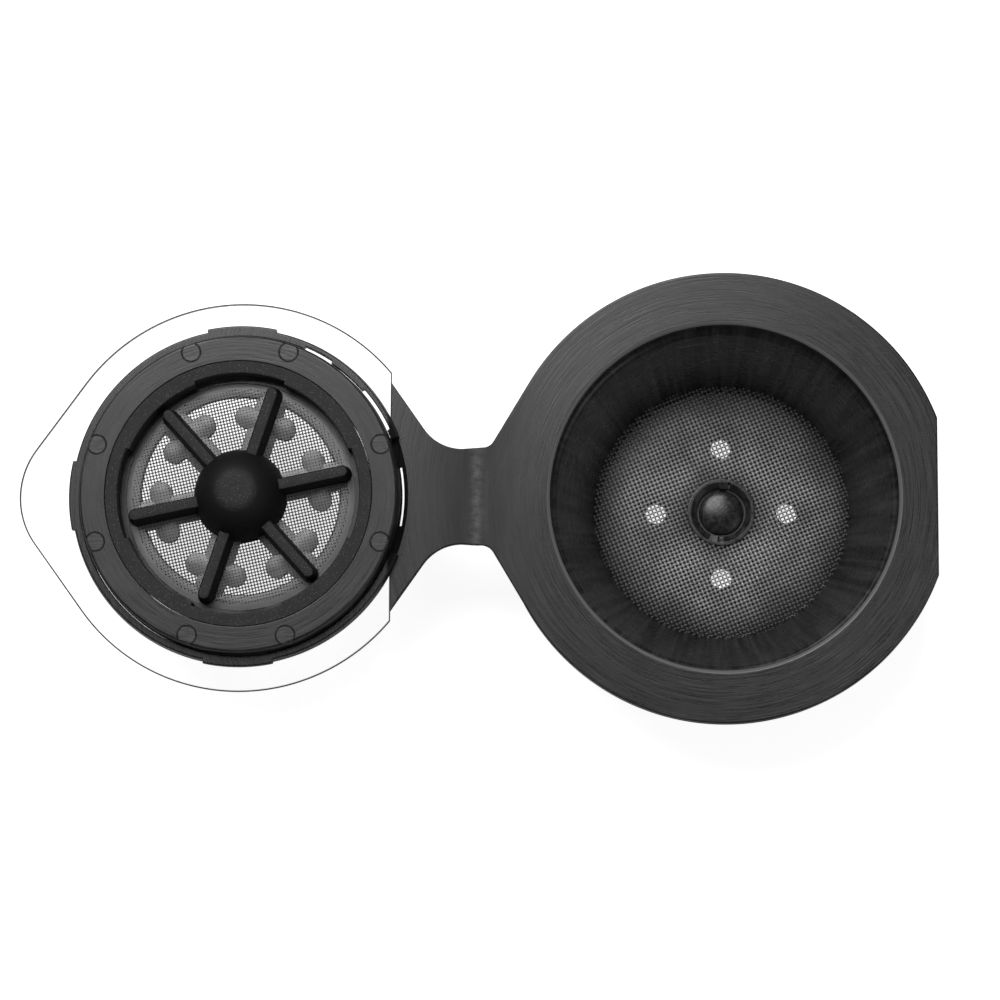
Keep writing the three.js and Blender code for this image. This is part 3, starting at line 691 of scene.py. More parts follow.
def clear_plate():
    """Ring section of the clear plate, 0.6 mm thick, from its hole to its outline."""
    angles = circle_angles(PLATE_CORNER_ANGLE, -PLATE_CORNER_ANGLE, step=1.2, soft=0.05)
    reach = plate_reach(angles)
    low = -PLATE_THICKNESS
    columns = [(PLATE_HOLE, low), (reach, low), (reach, 0.0), (PLATE_HOLE, 0.0)]
    return island(turned(rounded(section(angles, columns), 0.29, 7), angles, LID_AXIS))


# ---- lid rings, frame and star -----------------------------------------------------


def lid_ring(edge):
    """Channel section of the lid ring, open towards the plate, whose outer side steps out to
    23.5 mm at the three lugs."""
    half = math.degrees(math.asin(LUG_HALF_WIDTH / LUG_RADIUS))
    edges = [c + k * half for c in LUG_ANGLES for k in (-1, 1)]
    angles = circle_angles(*edges, step=1.25, soft=0.1)
    lug = np.min([from_direction(angles, c) for c in LUG_ANGLES], 0) < half
    columns = [
        (RING_BORE, 0),
        (19.75, 0),
        (19.75, 2.8),
        (21.9, 2.8),
        (21.9, 0),
        (22.7, 0),
        (22.69, 0.15),
        (np.where(lug, LUG_RADIUS, 22.69), 0.15),
        (np.where(lug, LUG_RADIUS, 22.6), 1.3),
        (22.59, 1.3),
        (22.45, 3.45),
        (22.2, RING_HEIGHT),
        (RING_BORE, RING_HEIGHT),
    ]
    soft = np.full(len(columns), 0.04)
    soft[10:] = [0.2, 0.2, edge * 0.5]
    return island(turned(rounded(section(angles, columns), soft), angles, LID_AXIS))


def retaining_ring(edge):
    """Section of a flange on a skirt; its bore is 17.05 mm within 22 degrees of each quarter
    and 16.6 mm between them."""
    quarters, half = (0, 90, 180, 270), 22
    edges = [c + k * half for c in quarters for k in (-1, 1)]
    angles = circle_angles(*edges, step=1.5, soft=0.15)
    away = np.min([from_direction(angles, c) for c in quarters], 0)
    bore = np.where(away < half, 17.05, 16.6)
    columns = [
        (bore, 0.47),
        (18.05, 0.47),
        (18.05, 2.75),
        (18.8, 2.75),
        (18.8, 3.65),
        (bore, 3.65),
    ]
    soft = np.array([0.05, 0.05, 0.05, 0.05, edge * 0.5, edge])
    return island(turned(rounded(section(angles, columns), soft), angles, LID_AXIS))


def potted_edge():
    """Thin ring section that holds the edge of the lid's cloth: its top falls away outwards
    from the crests of the wires to the retaining ring."""
    profile = [(14.0, 0.0), (16.5, 0.0), (16.5, 0.04), (16.2, 0.1), (15.6, 0.19), (14.9, 0.24)]
    profile += [(14.3, 0.22), (14.0, 0.1)]
    return island(turned(rounded(profile, 0.04, 3), circle_angles(step=2.5), LID_AXIS))


def lid_bar(ends, widths, heights, angle, turn=0.0, shift=0.0):
    """Bar with round ends, as outlines of rising height closed along its middle line: it runs
    between the two ends, is turned, shifted outwards and turned to its angle on the lid."""
    around = np.radians(np.append(np.linspace(-90, 90, 13), np.linspace(90, 270, 13)))
    middle = np.repeat([ends[1], ends[0]], 13)
    w, h = np.array(widths)[:, None], np.array(heights)[:, None]
    along = middle + w * np.cos(around)
    across = w * np.sin(around)
    tilt, spin = math.radians(turn), math.radians(angle)
    x = shift + along * math.cos(tilt) - across * math.sin(tilt)
    y = along * math.sin(tilt) + across * math.cos(tilt)
    places = [
        LID_AXIS[0] + x * math.cos(spin) - y * math.sin(spin),
        LID_AXIS[1] + x * math.sin(spin) + y * math.cos(spin),
        LID_AXIS[2] + h + 0 * x,
    ]
    return island(np.stack(places, -1), wrap_rows=False)


def potted_bars(angle):
    """Plastic that fills the cloth over one rib of the frame and over the lobes beside it."""
    low = [-0.02, -0.02, 0.18, 0.235, 0.24]
    rib = lid_bar((6.4, 13.2), [0.0, 2.15, 2.15, 2.0, 0.0], low, angle)
    lobes = lid_bar((-2.85, 2.85), [0.0, 1.6, 1.6, 1.45, 0.0], low, angle, 90.0, 11.0)
    return [rib, lobes]


def star_spoke(angle, edge):
    """Bar 2.4 mm wide at its base and 1.7 mm at its top, rounded over at the top."""
    half_base, half_top = 1.2, 0.85
    foot, shoulder, top = 0.21, 0.4, 3.7
    t = np.radians(np.linspace(0, 90, 5))
    soft = edge * 1.2
    widths = [0.0, half_base, half_base, *(half_top - soft + soft * np.cos(t)), 0.0]
    heights = [foot, foot, shoulder, *(top - soft + soft * np.sin(t)), top]
    return lid_bar((4.6, 14.9), widths, heights, angle)


def star_hub():
    """Domed hub: radius 1.7 + 4.8 cos t, height 0.2 + 7.1 sin t, with a flat top and a hollow
    of the same form inside."""
    t = np.radians(np.linspace(0, 90, 25))
    outer = np.stack([1.7 + 4.8 * np.cos(t), 0.2 + 7.1 * np.sin(t)], -1)
    inner = np.stack([1.5 + 3.8 * np.cos(t[::-1]), 0.2 + 5.9 * np.sin(t[::-1])], -1)
    profile = np.vstack([outer, [[0, 7.3]], [[0, 6.1]], inner])
    return island(turned(profile, circle_angles(step=4), LID_AXIS))


# ---- shader groups -----------------------------------------------------------------


def put(tree, kind, inputs=None, **settings):
    """New node with its settings; each input is a value or a socket to link from."""
    node = tree.nodes.new(kind)
    for key, value in settings.items():
        setattr(node, key, value)
    for key, value in (inputs or {}).items():
        if isinstance(value, bpy.types.NodeSocket):
            tree.links.new(value, node.inputs[key])
        else:
            node.inputs[key].default_value = value
    return node


def maths(tree, operation, *values, clamp=False):
    """Result of one operation on numbers or sockets."""
    node = put(tree, "ShaderNodeMath", dict(enumerate(values)), operation=operation)
    node.use_clamp = clamp
    return node.outputs[0]


def ranged(tree, value, low, high, start=0.0, end=1.0):
    """Value mapped from a range of the source (start, end) to a range of the result."""
    limits = {"From Min": start, "From Max": end, "To Min": low, "To Max": high}
    return put(tree, "ShaderNodeMapRange", {"Value": value, **limits}).outputs[0]


def hypotenuse(tree, a, b):
    """Square root of a squared plus b squared."""
    squares = [maths(tree, "POWER", side, 2.0) for side in (a, b)]
    return maths(tree, "SQRT", maths(tree, "ADD", *squares))


def apart(tree, a, b):
    """Distance between two numbers."""
    return maths(tree, "ABSOLUTE", maths(tree, "SUBTRACT", a, b))


def bell(tree, x, middle, width):
    """exp(-((x - middle) / width)^2)."""
    share = maths(tree, "DIVIDE", maths(tree, "SUBTRACT", x, middle), width)
    return maths(tree, "EXPONENT", maths(tree, "MULTIPLY", maths(tree, "POWER", share, 2.0), -1.0))


def split(tree, vector):
    """The three parts of a vector."""
    return tuple(put(tree, "ShaderNodeSeparateXYZ", {0: vector}).outputs)


def noise(tree, vector, scale, detail, roughness=0.5):
    """Noise from 0 to 1 at a place."""
    given = {"Vector": vector, "Scale": scale, "Detail": detail, "Roughness": roughness}
    return put(tree, "ShaderNodeTexNoise", given).outputs["Fac"]


def stretched(tree, vector, scale, turn=0.0):
    """Place turned about Z and scaled along each axis."""
    given = {"Vector": vector, "Rotation": (0, 0, turn), "Scale": scale}
    return put(tree, "ShaderNodeMapping", given).outputs[0]


def cells(tree, vector, scale, rarity):
    """Voronoi cells: 1 in the share of the cells above a rarity, and the distance from each
    cell's point."""
    node = put(tree, "ShaderNodeTexVoronoi", {"Vector": vector, "Scale": scale}).outputs
    red = put(tree, "ShaderNodeSeparateColor", {0: node["Color"]}).outputs[0]
    return maths(tree, "GREATER_THAN", red, rarity), node["Distance"]


def new_group(name, numbers, results):
    """Shader group that takes a place and numbers and puts out values: the group, the sockets
    that it is given and the sockets that it fills."""
    group = bpy.data.node_groups.new(name, "ShaderNodeTree")
    group.interface.new_socket("Place", in_out="INPUT", socket_type="NodeSocketVector")
    for label, default in numbers.items():
        made = group.interface.new_socket(label, in_out="INPUT", socket_type="NodeSocketFloat")
        made.default_value = default
    for label in results:
        group.interface.new_socket(label, in_out="OUTPUT", socket_type="NodeSocketFloat")
    given = group.nodes.new("NodeGroupInput").outputs
    return group, given, group.nodes.new("NodeGroupOutput").inputs


def in_group(tree, name, build, **inputs):
    """Group placed in a material, with the values or sockets that it takes. It is built the
    first time it is asked for."""
    group = bpy.data.node_groups.get(name) or build(name)
    return put(tree, "ShaderNodeGroup", inputs, node_tree=group).outputs


def turned_marks(name):
    """Fine marks that run round an axis: noise on (radius x fineness, cos, sin of the angle),
    so it is drawn out along the circle. Gives the marks, a slower tone, and the radius."""
    group, given, out = new_group(
        name, {"Fineness": 6.0, "Sweep": 3.0}, ["Marks", "Tone", "Radius"]
    )
    x, y, _z = split(group, given["Place"])
    radius = hypotenuse(group, x, y)
    safe = maths(group, "MAXIMUM", radius, 0.01)
    cos, sin = (
        maths(group, "MULTIPLY", maths(group, "DIVIDE", side, safe), given["Sweep"])
        for side in (x, y)
    )
    along = maths(group, "MULTIPLY", radius, given["Fineness"])
    slower = maths(group, "MULTIPLY", along, 0.16)
    fine, slow = (
        put(group, "ShaderNodeCombineXYZ", {0: first, 1: cos, 2: sin}).outputs[0]
        for first in (along, slower)
    )
    group.links.new(noise(group, fine, 1.0, 4.0, 0.65), out["Marks"])
    group.links.new(noise(group, slow, 1.3, 3.0, 0.6), out["Tone"])
    group.links.new(radius, out["Radius"])
    return group


def spark_grain(name):
    """Grain of a spark-finished mould: fine noise as height, rare painted glints where a small
    cell's centre is near, and slow clouds."""
    group, given, out = new_group(name, {"Fineness": 5.0}, ["Height", "Points", "Cloud"])
    place, fineness = given["Place"], given["Fineness"]
    chosen, distance = cells(group, place, maths(group, "MULTIPLY", fineness, 0.8), 0.62)
    near = maths(group, "SUBTRACT", 1.0, maths(group, "MULTIPLY", distance, 3.2), clamp=True)
    group.links.new(noise(group, place, fineness, 3.0, 0.7), out["Height"])
    group.links.new(maths(group, "MULTIPLY", chosen, near), out["Points"])
    group.links.new(noise(group, place, 0.35, 2.0), out["Cloud"])
    return group


def handling_wear(name):
    """Faint scuffs and dust of a handled part: stretched noise, kept where it is strongest."""
    group, given, out = new_group(name, {"Amount": 0.5}, ["Scuffs", "Specks"])
    place = given["Place"]
    scuffed = noise(group, stretched(group, place, (0.5, 4.0, 1.0), 0.6), 0.9, 5.0)
    strong = ranged(group, scuffed, 0.0, 1.0, 0.56, 0.74)
    rare, distance = cells(group, place, 1.3, 0.86)
    small = maths(group, "LESS_THAN", distance, 0.09)
    group.links.new(maths(group, "MULTIPLY", strong, given["Amount"]), out["Scuffs"])
    group.links.new(maths(group, "MULTIPLY", rare, small), out["Specks"])
    return group


# ---- finishes ----------------------------------------------------------------------


def new_material(name, centre=CUP_AXIS):
    """Material with its Principled shader and a place in millimetres from a centre."""
    made = bpy.data.materials.new(name)
    made.use_nodes = True
    tree = made.node_tree
    shader = tree.nodes["Principled BSDF"]
    place = put(
        tree,
        "ShaderNodeMapping",
        {
            "Vector": tree.nodes.new("ShaderNodeTexCoord").outputs["Object"],
            "Location": tuple(-c for c in centre),
            "Scale": (1 / MM,) * 3,
        },
    ).outputs[0]
    return made, tree, shader, place


def mixed(tree, share, low, high):
    """Colour between two colours or colour sockets, by a share."""
    node = put(tree, "ShaderNodeMix", data_type="RGBA")
    for socket, value in ((node.inputs[0], share), (node.inputs[6], low), (node.inputs[7], high)):
        if isinstance(value, bpy.types.NodeSocket):
            tree.links.new(value, socket)
        else:
            socket.default_value = value if isinstance(value, float) else (*value, 1.0)
    return node.outputs[2]


def times(colour, factor):
    """Colour made lighter or darker by a factor."""
    return tuple(min(1.0, c * factor) for c in colour)


def overlaid(tree, shader, share, colour):
    """Lays a colour over the one that the finish has, by a share."""
    base = shader.inputs["Base Color"]
    tree.links.new(mixed(tree, share, base.links[0].from_socket, colour), base)


def levelness(tree):
    """1 on level faces and 0 on upright ones."""
    normal = put(tree, "ShaderNodeNewGeometry").outputs["True Normal"]
    return maths(tree, "ABSOLUTE", split(tree, normal)[2])


def bumped(tree, height, strength, distance, normal=None):
    """Normal bent by a height, on top of another normal if there is one."""
    given = {"Height": height, "Strength": strength, "Distance": distance}
    if normal:
        given["Normal"] = normal
    return put(tree, "ShaderNodeBump", given).outputs[0]


def satin_black(name, colour, centre=CUP_AXIS, fineness=6.0, gloss=0.28, tone=0.04):
    """Satin moulded plastic with fine turned marks round an axis, slow changes of tone and
    faint scuffs."""
    made, tree, shader, place = new_material(name, centre)
    marks = in_group(tree, "Turned marks", turned_marks, Place=place, Fineness=fineness)
    wear = in_group(tree, "Handling wear", handling_wear, Place=place, Amount=0.6)
    pale = tuple(min(1.0, c + tone) for c in colour)
    streaks = ranged(tree, marks["Tone"], 0.25, 0.8, 0.4, 0.7)
    fine = maths(tree, "MULTIPLY", streaks, ranged(tree, marks["Marks"], 0.1, 1.0, 0.38, 0.62))
    share = maths(tree, "ADD", fine, maths(tree, "MULTIPLY", wear["Scuffs"], 0.35), clamp=True)
    dusty = maths(tree, "MULTIPLY", wear["Specks"], 0.35)
    speckled = mixed(tree, dusty, mixed(tree, share, colour, pale), DUST_GREY)
    tree.links.new(speckled, shader.inputs["Base Color"])
    rough = ranged(tree, marks["Marks"], gloss - 0.07, gloss + 0.11, 0.35, 0.65)
    rough = maths(tree, "ADD", rough, maths(tree, "MULTIPLY", wear["Scuffs"], 0.08))
    tree.links.new(rough, shader.inputs["Roughness"])
    tree.links.new(bumped(tree, marks["Marks"], 0.5, 0.00005), shader.inputs["Normal"])
    shader.inputs["Specular IOR Level"].default_value = 0.5
    return made, tree, shader, place


def edged_black(name, colours):
    """Satin black of the cup, with a painted highlight, a lighter ring along the edge of its mouth,
    and with marks that run down its inner wall instead of round it. The inner wall is what lies
    inside the cone radius = 18.58 + 0.364 z and below the flange's face."""
    made, tree, shader, place = satin_black(name, colours.satin)
    x, _y, z = split(tree, place)
    marks = in_group(
        tree, "Turned marks", turned_marks, Place=place, Fineness=0.15, Sweep=26.0
    )
    dulled(tree, shader, x)
    face = CUP_HEIGHT - 0.5
    on_face = maths(tree, "GREATER_THAN", z, face)
    near = ranged(tree, apart(tree, marks["Radius"], 24.78), 1.0, 0.0, 0.17, 0.3)
    cone = maths(tree, "SUBTRACT", marks["Radius"], maths(tree, "MULTIPLY", z, 0.364))
    inside = maths(tree, "LESS_THAN", cone, 18.58)
    wall = maths(tree, "MULTIPLY", inside, maths(tree, "LESS_THAN", z, face))
    streaks = ranged(tree, marks["Marks"], 0.0, 1.0, 0.4, 0.75)
    walled = mixed(tree, streaks, times(colours.satin, 1.5), times(colours.satin, 8.0))
    overlaid(tree, shader, wall, walled)
    # Painted highlight: the flange's face is made pale within 0.17 mm of radius 24.78 mm, fading
    # out by 0.3 mm.
    overlaid(tree, shader, maths(tree, "MULTIPLY", on_face, near), colours.painted_rim_highlight)
    return made


def hub_black(name, colours):
    """Star's finish: grained black, with painted shade on the upright sides of the spokes and the
    hub, which are given a plain, darker colour."""
    made = grained_black(name, colours.grained)
    tree = made.node_tree
    # Painted shade: faces that stand upright are darkened to 0.35 of the grained colour.
    side = ranged(tree, levelness(tree), 1.0, 0.0, 0.9, 0.998)
    overlaid(tree, tree.nodes["Principled BSDF"], side, times(colours.grained, 0.35))
    return made


def grained_black(name, colour):
    """Matte plastic from a spark-finished mould, with small painted glints in its grain."""
    made, tree, shader, place = new_material(name, LID_AXIS)
    grain = in_group(tree, "Spark grain", spark_grain, Place=place, Fineness=5.5)
    high = ranged(tree, grain["Height"], 0.0, 1.0, 0.35, 0.75)
    body = mixed(tree, high, colour, times(colour, 2.3))
    cloud = ranged(tree, grain["Cloud"], 0.0, 0.5, 0.4, 0.7)
    cloudy = mixed(tree, cloud, body, times(colour, 2.2))
    # Painted glints: rare small points of the grain are made pale grey.
    lit = mixed(tree, maths(tree, "MULTIPLY", grain["Points"], 0.8), cloudy, GLINT_GREY)
    tree.links.new(lit, shader.inputs["Base Color"])
    tree.links.new(ranged(tree, grain["Height"], 0.5, 0.75), shader.inputs["Roughness"])
    tree.links.new(bumped(tree, grain["Height"], 0.5, 0.00006), shader.inputs["Normal"])
    shader.inputs["Specular IOR Level"].default_value = 0.32
    return made


def wire_cloth(name, centre, gloss):
    """Steel wire with its place, its stain clouds and the height of its waves, to be finished
    as the cup's or the lid's cloth."""
    made, tree, shader, place = new_material(name, centre)
    cloud = noise(tree, place, 0.2, 3.0)
    crest = put(tree, "ShaderNodeAttribute", attribute_name="crest").outputs["Fac"]
    tree.links.new(ranged(tree, cloud, gloss - 0.05, gloss + 0.08), shader.inputs["Roughness"])
    shader.inputs["Metallic"].default_value = 0.5
    return made, tree, shader, place, cloud, crest


def cup_cloth_steel(name, steel):
    """Wire with a painted highlight on its crests and painted shade between them, painted light
    round the middle of the cloth fading to painted shade towards the hub and the wall, and stains.
    """
    made, tree, shader, place, cloud, crest = wire_cloth(name, CUP_AXIS, 0.36)
    marks = in_group(tree, "Turned marks", turned_marks, Place=place, Fineness=0.5, Sweep=1.2)
    # Painted light and shade: lightest within 3 mm of radius 10.5 mm, darkening to a tenth by 7.5
    # mm from it, towards the hub and the cup's wall.
    swell = ranged(tree, apart(tree, marks["Radius"], 10.5), 1.0, 0.1, 3.0, 7.5)
    clouded = ranged(tree, cloud, 0.75, 1.05, 0.35, 0.65)
    slow = ranged(tree, marks["Tone"], 0.7, 1.25, 0.35, 0.65)
    share = maths(tree, "MULTIPLY", maths(tree, "MULTIPLY", swell, clouded), slow)
    top = mixed(tree, share, times(steel, 0.35), times(steel, 1.6))
    low = mixed(tree, share, times(steel, 0.04), times(steel, 0.75))
    # Painted highlight on the crests of the wires and painted shade lower down on them.
    crest_highlight = ranged(tree, crest, 0.0, 1.0, 0.25, 0.95)
    tree.links.new(mixed(tree, crest_highlight, low, top), shader.inputs["Base Color"])
    return made


def lid_cloth_steel(name, steel):
    """Finer wire, which lets light past between its crests, where it is too thin to cover, and
    whose crests are painted near black as painted shade of wires seen against the light.
    """
    made, tree, shader, _place, cloud, crest = wire_cloth(name, LID_AXIS, 0.42)
    dark = times(steel, 0.05)
    stained = ranged(tree, cloud, 0.0, 1.0, 0.4, 0.6)
    clouded = mixed(tree, stained, dark, times(steel, 0.3))
    # Painted shade: the crests, where the wires cross, take the near-black colour.
    tree.links.new(mixed(tree, crest, clouded, dark), shader.inputs["Base Color"])
    tree.links.new(ranged(tree, crest, 0.52, 1.0, 0.1, 0.75), shader.inputs["Alpha"])
    return made


def dulled(tree, shader, x):
    """Makes the finish rougher around the strap's neck, where it is bent and handled: adds
    0.3 exp(-((x + 36) / 6.5)^2) to the roughness."""
    rough = shader.inputs["Roughness"]
    more = maths(tree, "MULTIPLY", bell(tree, x, -36.0, 6.5), 0.3)
    result = maths(tree, "ADD", rough.links[0].from_socket, more, clamp=True)
    tree.links.new(result, rough)
    return result


def crease_black(name, colours):
    """Satin black with a pale, mottled band where the strap has been bent, and a fainter one
    beside it."""
    made, tree, shader, place = satin_black(name, colours.satin, fineness=5.0)
    x = split(tree, place)[0]
    dulled(tree, shader, x)
    blotches = noise(tree, stretched(tree, place, (0.5, 1.0, 1.0)), 1.1, 4.0, 0.68)
    mottled = ranged(tree, blotches, 0.12, 1.0, 0.36, 0.68)
    pale = maths(tree, "MULTIPLY", bell(tree, x, -34.85, 0.85), mottled)
    faint = maths(tree, "MULTIPLY", bell(tree, x, -33.5, 0.35), 0.12)
    share = maths(tree, "ADD", pale, faint, clamp=True)
    overlaid(tree, shader, share, colours.whitened)
    return made


def channelled_black(name, colours):
    """Satin black of the fan, with painted shade in the channel beside the lid ring: on the fan's
    upper side, below its top or nearer to the lid's axis than 23.7 mm."""
    made, tree, shader, place = satin_black(name, colours.satin, fineness=5.0)
    x, y, z = split(tree, place)
    rough = dulled(tree, shader, x)
    sunk_shade = ranged(tree, z, 1.0, 0.0, CUP_HEIGHT - 0.3, CUP_HEIGHT - 0.05)
    radius = hypotenuse(tree, maths(tree, "SUBTRACT", x, LID_AXIS[0]), y)
    inner = ranged(tree, radius, 1.0, 0.0, 23.6, 23.8)
    on_fan = ranged(tree, x, 0.0, 1.0, LID_AXIS[0] + 20.4, LID_AXIS[0] + 21.2)
    near = maths(tree, "MULTIPLY", inner, on_fan)
    above = ranged(tree, z, 0.0, 1.0, CUP_HEIGHT - 0.9, CUP_HEIGHT - 0.6)
    dark = maths(tree, "MULTIPLY", maths(tree, "MAXIMUM", sunk_shade, near), above)
    # Painted shade: the channel's colour is set near black.
    overlaid(tree, shader, dark, CHANNEL_SHADE_GREY)
    tree.links.new(maths(tree, "MAXIMUM", rough, dark), shader.inputs["Roughness"])
    return made


def pin_marked(name, colours):
    """Satin black of the lid ring with eight round marks of the mould's pins. The angle is
    folded into one quarter turn; a mark is the circle of 1.33 mm about radius 21.2 mm at 19
    degrees, with a dark outline, fine straight scratches inside it and a lowered face."""
    made, tree, shader, place = satin_black(
        name, colours.satin, LID_AXIS, fineness=2.6, gloss=0.34, tone=0.045
    )
    distance, pin, mark = PIN_MARK
    x, y, z = split(tree, place)
    quarter = math.pi / 2
    ahead = maths(tree, "ADD", maths(tree, "ARCTAN2", y, x), quarter / 2)
    folded = apart(tree, maths(tree, "FLOORED_MODULO", ahead, quarter), quarter / 2)
    radius = hypotenuse(tree, x, y)
    dx, dy = (
        maths(
            tree,
            "SUBTRACT",
            maths(tree, "MULTIPLY", radius, maths(tree, kind, folded)),
            distance * middle,
        )
        for kind, middle in (("COSINE", math.cos(pin)), ("SINE", math.sin(pin)))
    )
    away = hypotenuse(tree, dx, dy)
    on_top = maths(tree, "GREATER_THAN", z, RING_HEIGHT - 0.1)
    inside = maths(tree, "MULTIPLY", maths(tree, "LESS_THAN", away, mark - 0.06), on_top)
    line = ranged(tree, apart(tree, away, mark), 1.0, 0.0, 0.02, 0.13)
    outline = maths(tree, "MULTIPLY", line, on_top)
    scratches = noise(tree, stretched(tree, place, (0.6, 5.0, 1.0), 0.9), 1.0, 4.0, 0.7)
    scratched = mixed(
        tree,
        ranged(tree, scratches, 0.0, 1.0, 0.42, 0.7),
        times(colours.satin, 1.6),
        SCRATCH_GREY,
    )
    overlaid(tree, shader, inside, scratched)
    overlaid(tree, shader, maths(tree, "MULTIPLY", outline, 0.95), OUTLINE_GREY)
    depth = maths(tree, "SUBTRACT", maths(tree, "MULTIPLY", inside, -0.3), outline)
    normal = shader.inputs["Normal"]
    tree.links.new(bumped(tree, depth, 0.8, 0.0001, normal.links[0].from_socket), normal)
    return made


def clear_plastic(name, colour):
    """Clear sheet: its faces let light straight through and mirror a little, and its upright
    edge, which shows the sheet's depth, is a grey line."""
    made, tree, shader, _place = new_material(name, LID_AXIS)
    face = ranged(tree, levelness(tree), 0.0, 1.0, 0.97, 0.9996)
    shader.inputs["Base Color"].default_value = (*colour, 1.0)
    shader.inputs["Roughness"].default_value = 0.12
    tree.links.new(ranged(tree, face, 0.88, 0.01), shader.inputs["Alpha"])
    return made


# ---- operators ---------------------------------------------------------------------


def make_cloth(name, size, outline, turn, surface, axis, body, finish, node):
    """Warp and weft of a cloth as two pieces: the weft is a quarter turn and half a wave on."""
    for label, angle, phase in (("warp", turn, 0.0), ("weft", turn + 90, math.pi)):
        wires = woven_wires(*size, *outline, angle, phase, surface, axis)
        make_piece(f"{name}_{label}", [wires], body, finish, [node], 80)


class CAPSULE_OT_cup(bpy.types.Operator):
    """Cup with its flange, its mouth, its drained floor and the fastening in the floor"""

    bl_idname = "capsule.cup"
    bl_label = "Cup"

    def execute(self, context):
        colours = context.scene.capsule_colours
        edge = context.scene.capsule_sizes.edge / MM
        body = edged_black("Satin black of the cup", colours)
        walls = [cup_walls(edge), *drained_floor()]
        make_piece("cup_walls", walls, "cup", body, ["cup_body"])
        inner = satin_black(
            "Satin black of the fastening", colours.satin, fineness=2.0, gloss=0.26
        )[0]
        collar = [socket_collar(edge)]
        make_piece("socket_collar", collar, "cup", inner, ["floor_socket"])
        make_piece("floor_button", [floor_button()], "cup", inner, ["floor_plug"])
        return {"FINISHED"}


class CAPSULE_OT_cup_cloth(bpy.types.Operator):
    """Woven wire cloth in the bottom of the cup, as its warp and its weft"""

    bl_idname = "capsule.cup_cloth"
    bl_label = "Cup cloth"

    def execute(self, context):
        sizes, colours = context.scene.capsule_sizes, context.scene.capsule_colours
        finish = cup_cloth_steel("Steel cloth of the cup", tuple(colours.steel))
        make_cloth(
            "cup_cloth",
            (sizes.cup_pitch / MM, sizes.cup_wire / MM),
            (CUP_CLOTH_RADIUS, CUP_CLOTH_HOLE),
            CUP_CLOTH_TURN,
            cup_cloth_height(sizes.bulge / MM),
            CUP_AXIS,
            "cup",
            finish,
            "cup_sieve",
        )
        return {"FINISHED"}


class CAPSULE_OT_strap(bpy.types.Operator):
    """Strap: its bending neck, and its fan with the low rim around the lid ring"""

    bl_idname = "capsule.strap"
    bl_label = "Strap"

    def execute(self, context):
        sizes, colours = context.scene.capsule_sizes, context.scene.capsule_colours
        edge = sizes.edge / MM
        creased = crease_black("Creased satin black", colours)
        web = [hinge_web(sizes.groove / MM, edge)]
        neck = make_piece("strap_neck", web, None, creased)
        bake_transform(neck)
        dark = channelled_black("Satin black of the fan", colours)
        fan = [*fan_plate(edge), low_rim(edge)]
        make_piece("strap_fan", fan, "lid", dark, ["lid_strap"])
        return {"FINISHED"}


class CAPSULE_OT_plate(bpy.types.Operator):
    """Clear plate with a blunt tip, which carries the lid ring"""

    bl_idname = "capsule.plate"
    bl_label = "Clear plate"

    def execute(self, context):
        finish = clear_plastic("Clear plastic", context.scene.capsule_colours.clear)
        make_piece("clear_sheet", [clear_plate()], "lid", finish, ["clear_plate"])
        return {"FINISHED"}


class CAPSULE_OT_rings(bpy.types.Operator):
    """Lid ring with its lugs, the grained retaining ring in it, and the filter frame"""

    bl_idname = "capsule.rings"
    bl_label = "Lid rings"

    def execute(self, context):
        colours = context.scene.capsule_colours
        edge = context.scene.capsule_sizes.edge / MM
        smooth = pin_marked("Satin black of the lid ring", colours)
        make_piece(
            "smooth_ring", [lid_ring(edge)], "lid", smooth, ["lid_ring"]
        )
        grained = grained_black("Grained black of the ring", colours.grained)
        make_piece(
            "grained_ring",
            [retaining_ring(edge)],
            "lid",
            grained,
            ["retaining_ring"],
        )
        carrier = frame["nodes"]["filter_frame"].data
        carrier.materials.clear()
        carrier.materials.append(
            satin_black("Satin black of the frame", colours.satin, LID_AXIS, 1.2, 0.3, 0.05)[0]
        )
        return {"FINISHED"}


class CAPSULE_OT_lid_cloth(bpy.types.Operator):
    """Fine woven wire cloth of the lid, as its warp and its weft, and the plastic in it"""

    bl_idname = "capsule.lid_cloth"
    bl_label = "Lid cloth"

    def execute(self, context):
        sizes, colours = context.scene.capsule_sizes, context.scene.capsule_colours
        finish = lid_cloth_steel("Steel cloth of the lid", tuple(colours.steel))
        # Painted reflection: the potted edge and bars take the pale frame grey in place of their
        # sheen.
        make_piece(
            "potted_edge",
            [potted_edge(), *(bar for angle in STAR_ANGLES for bar in potted_bars(angle))],
            "lid",
            satin_black("Satin black of the edge", colours.frame, LID_AXIS, 1.2, 0.3, 0.05)[0],
            ["lid_sieve"],
        )
        make_cloth(
            "lid_cloth",
            (sizes.lid_pitch / MM, sizes.lid_wire / MM),
            (LID_CLOTH_RADIUS, LID_CLOTH_HOLE),
            LID_CLOTH_TURN,
            lid_cloth_height,
            LID_AXIS,
            "lid",
            finish,
            "lid_sieve",
        )
        return {"FINISHED"}


class CAPSULE_OT_star(bpy.types.Operator):
    """Grained star of six spokes with a domed hub, which holds the lid's cloth down"""

    bl_idname = "capsule.star"
    bl_label = "Star"

    def execute(self, context):
        edge = context.scene.capsule_sizes.edge / MM
        whole = [star_hub(), *(star_spoke(angle, edge) for angle in STAR_ANGLES)]
        finish = hub_black("Grained black of the star", context.scene.capsule_colours)
        make_piece("star", whole, "lid", finish, ["lid_star"])
        return {"FINISHED"}


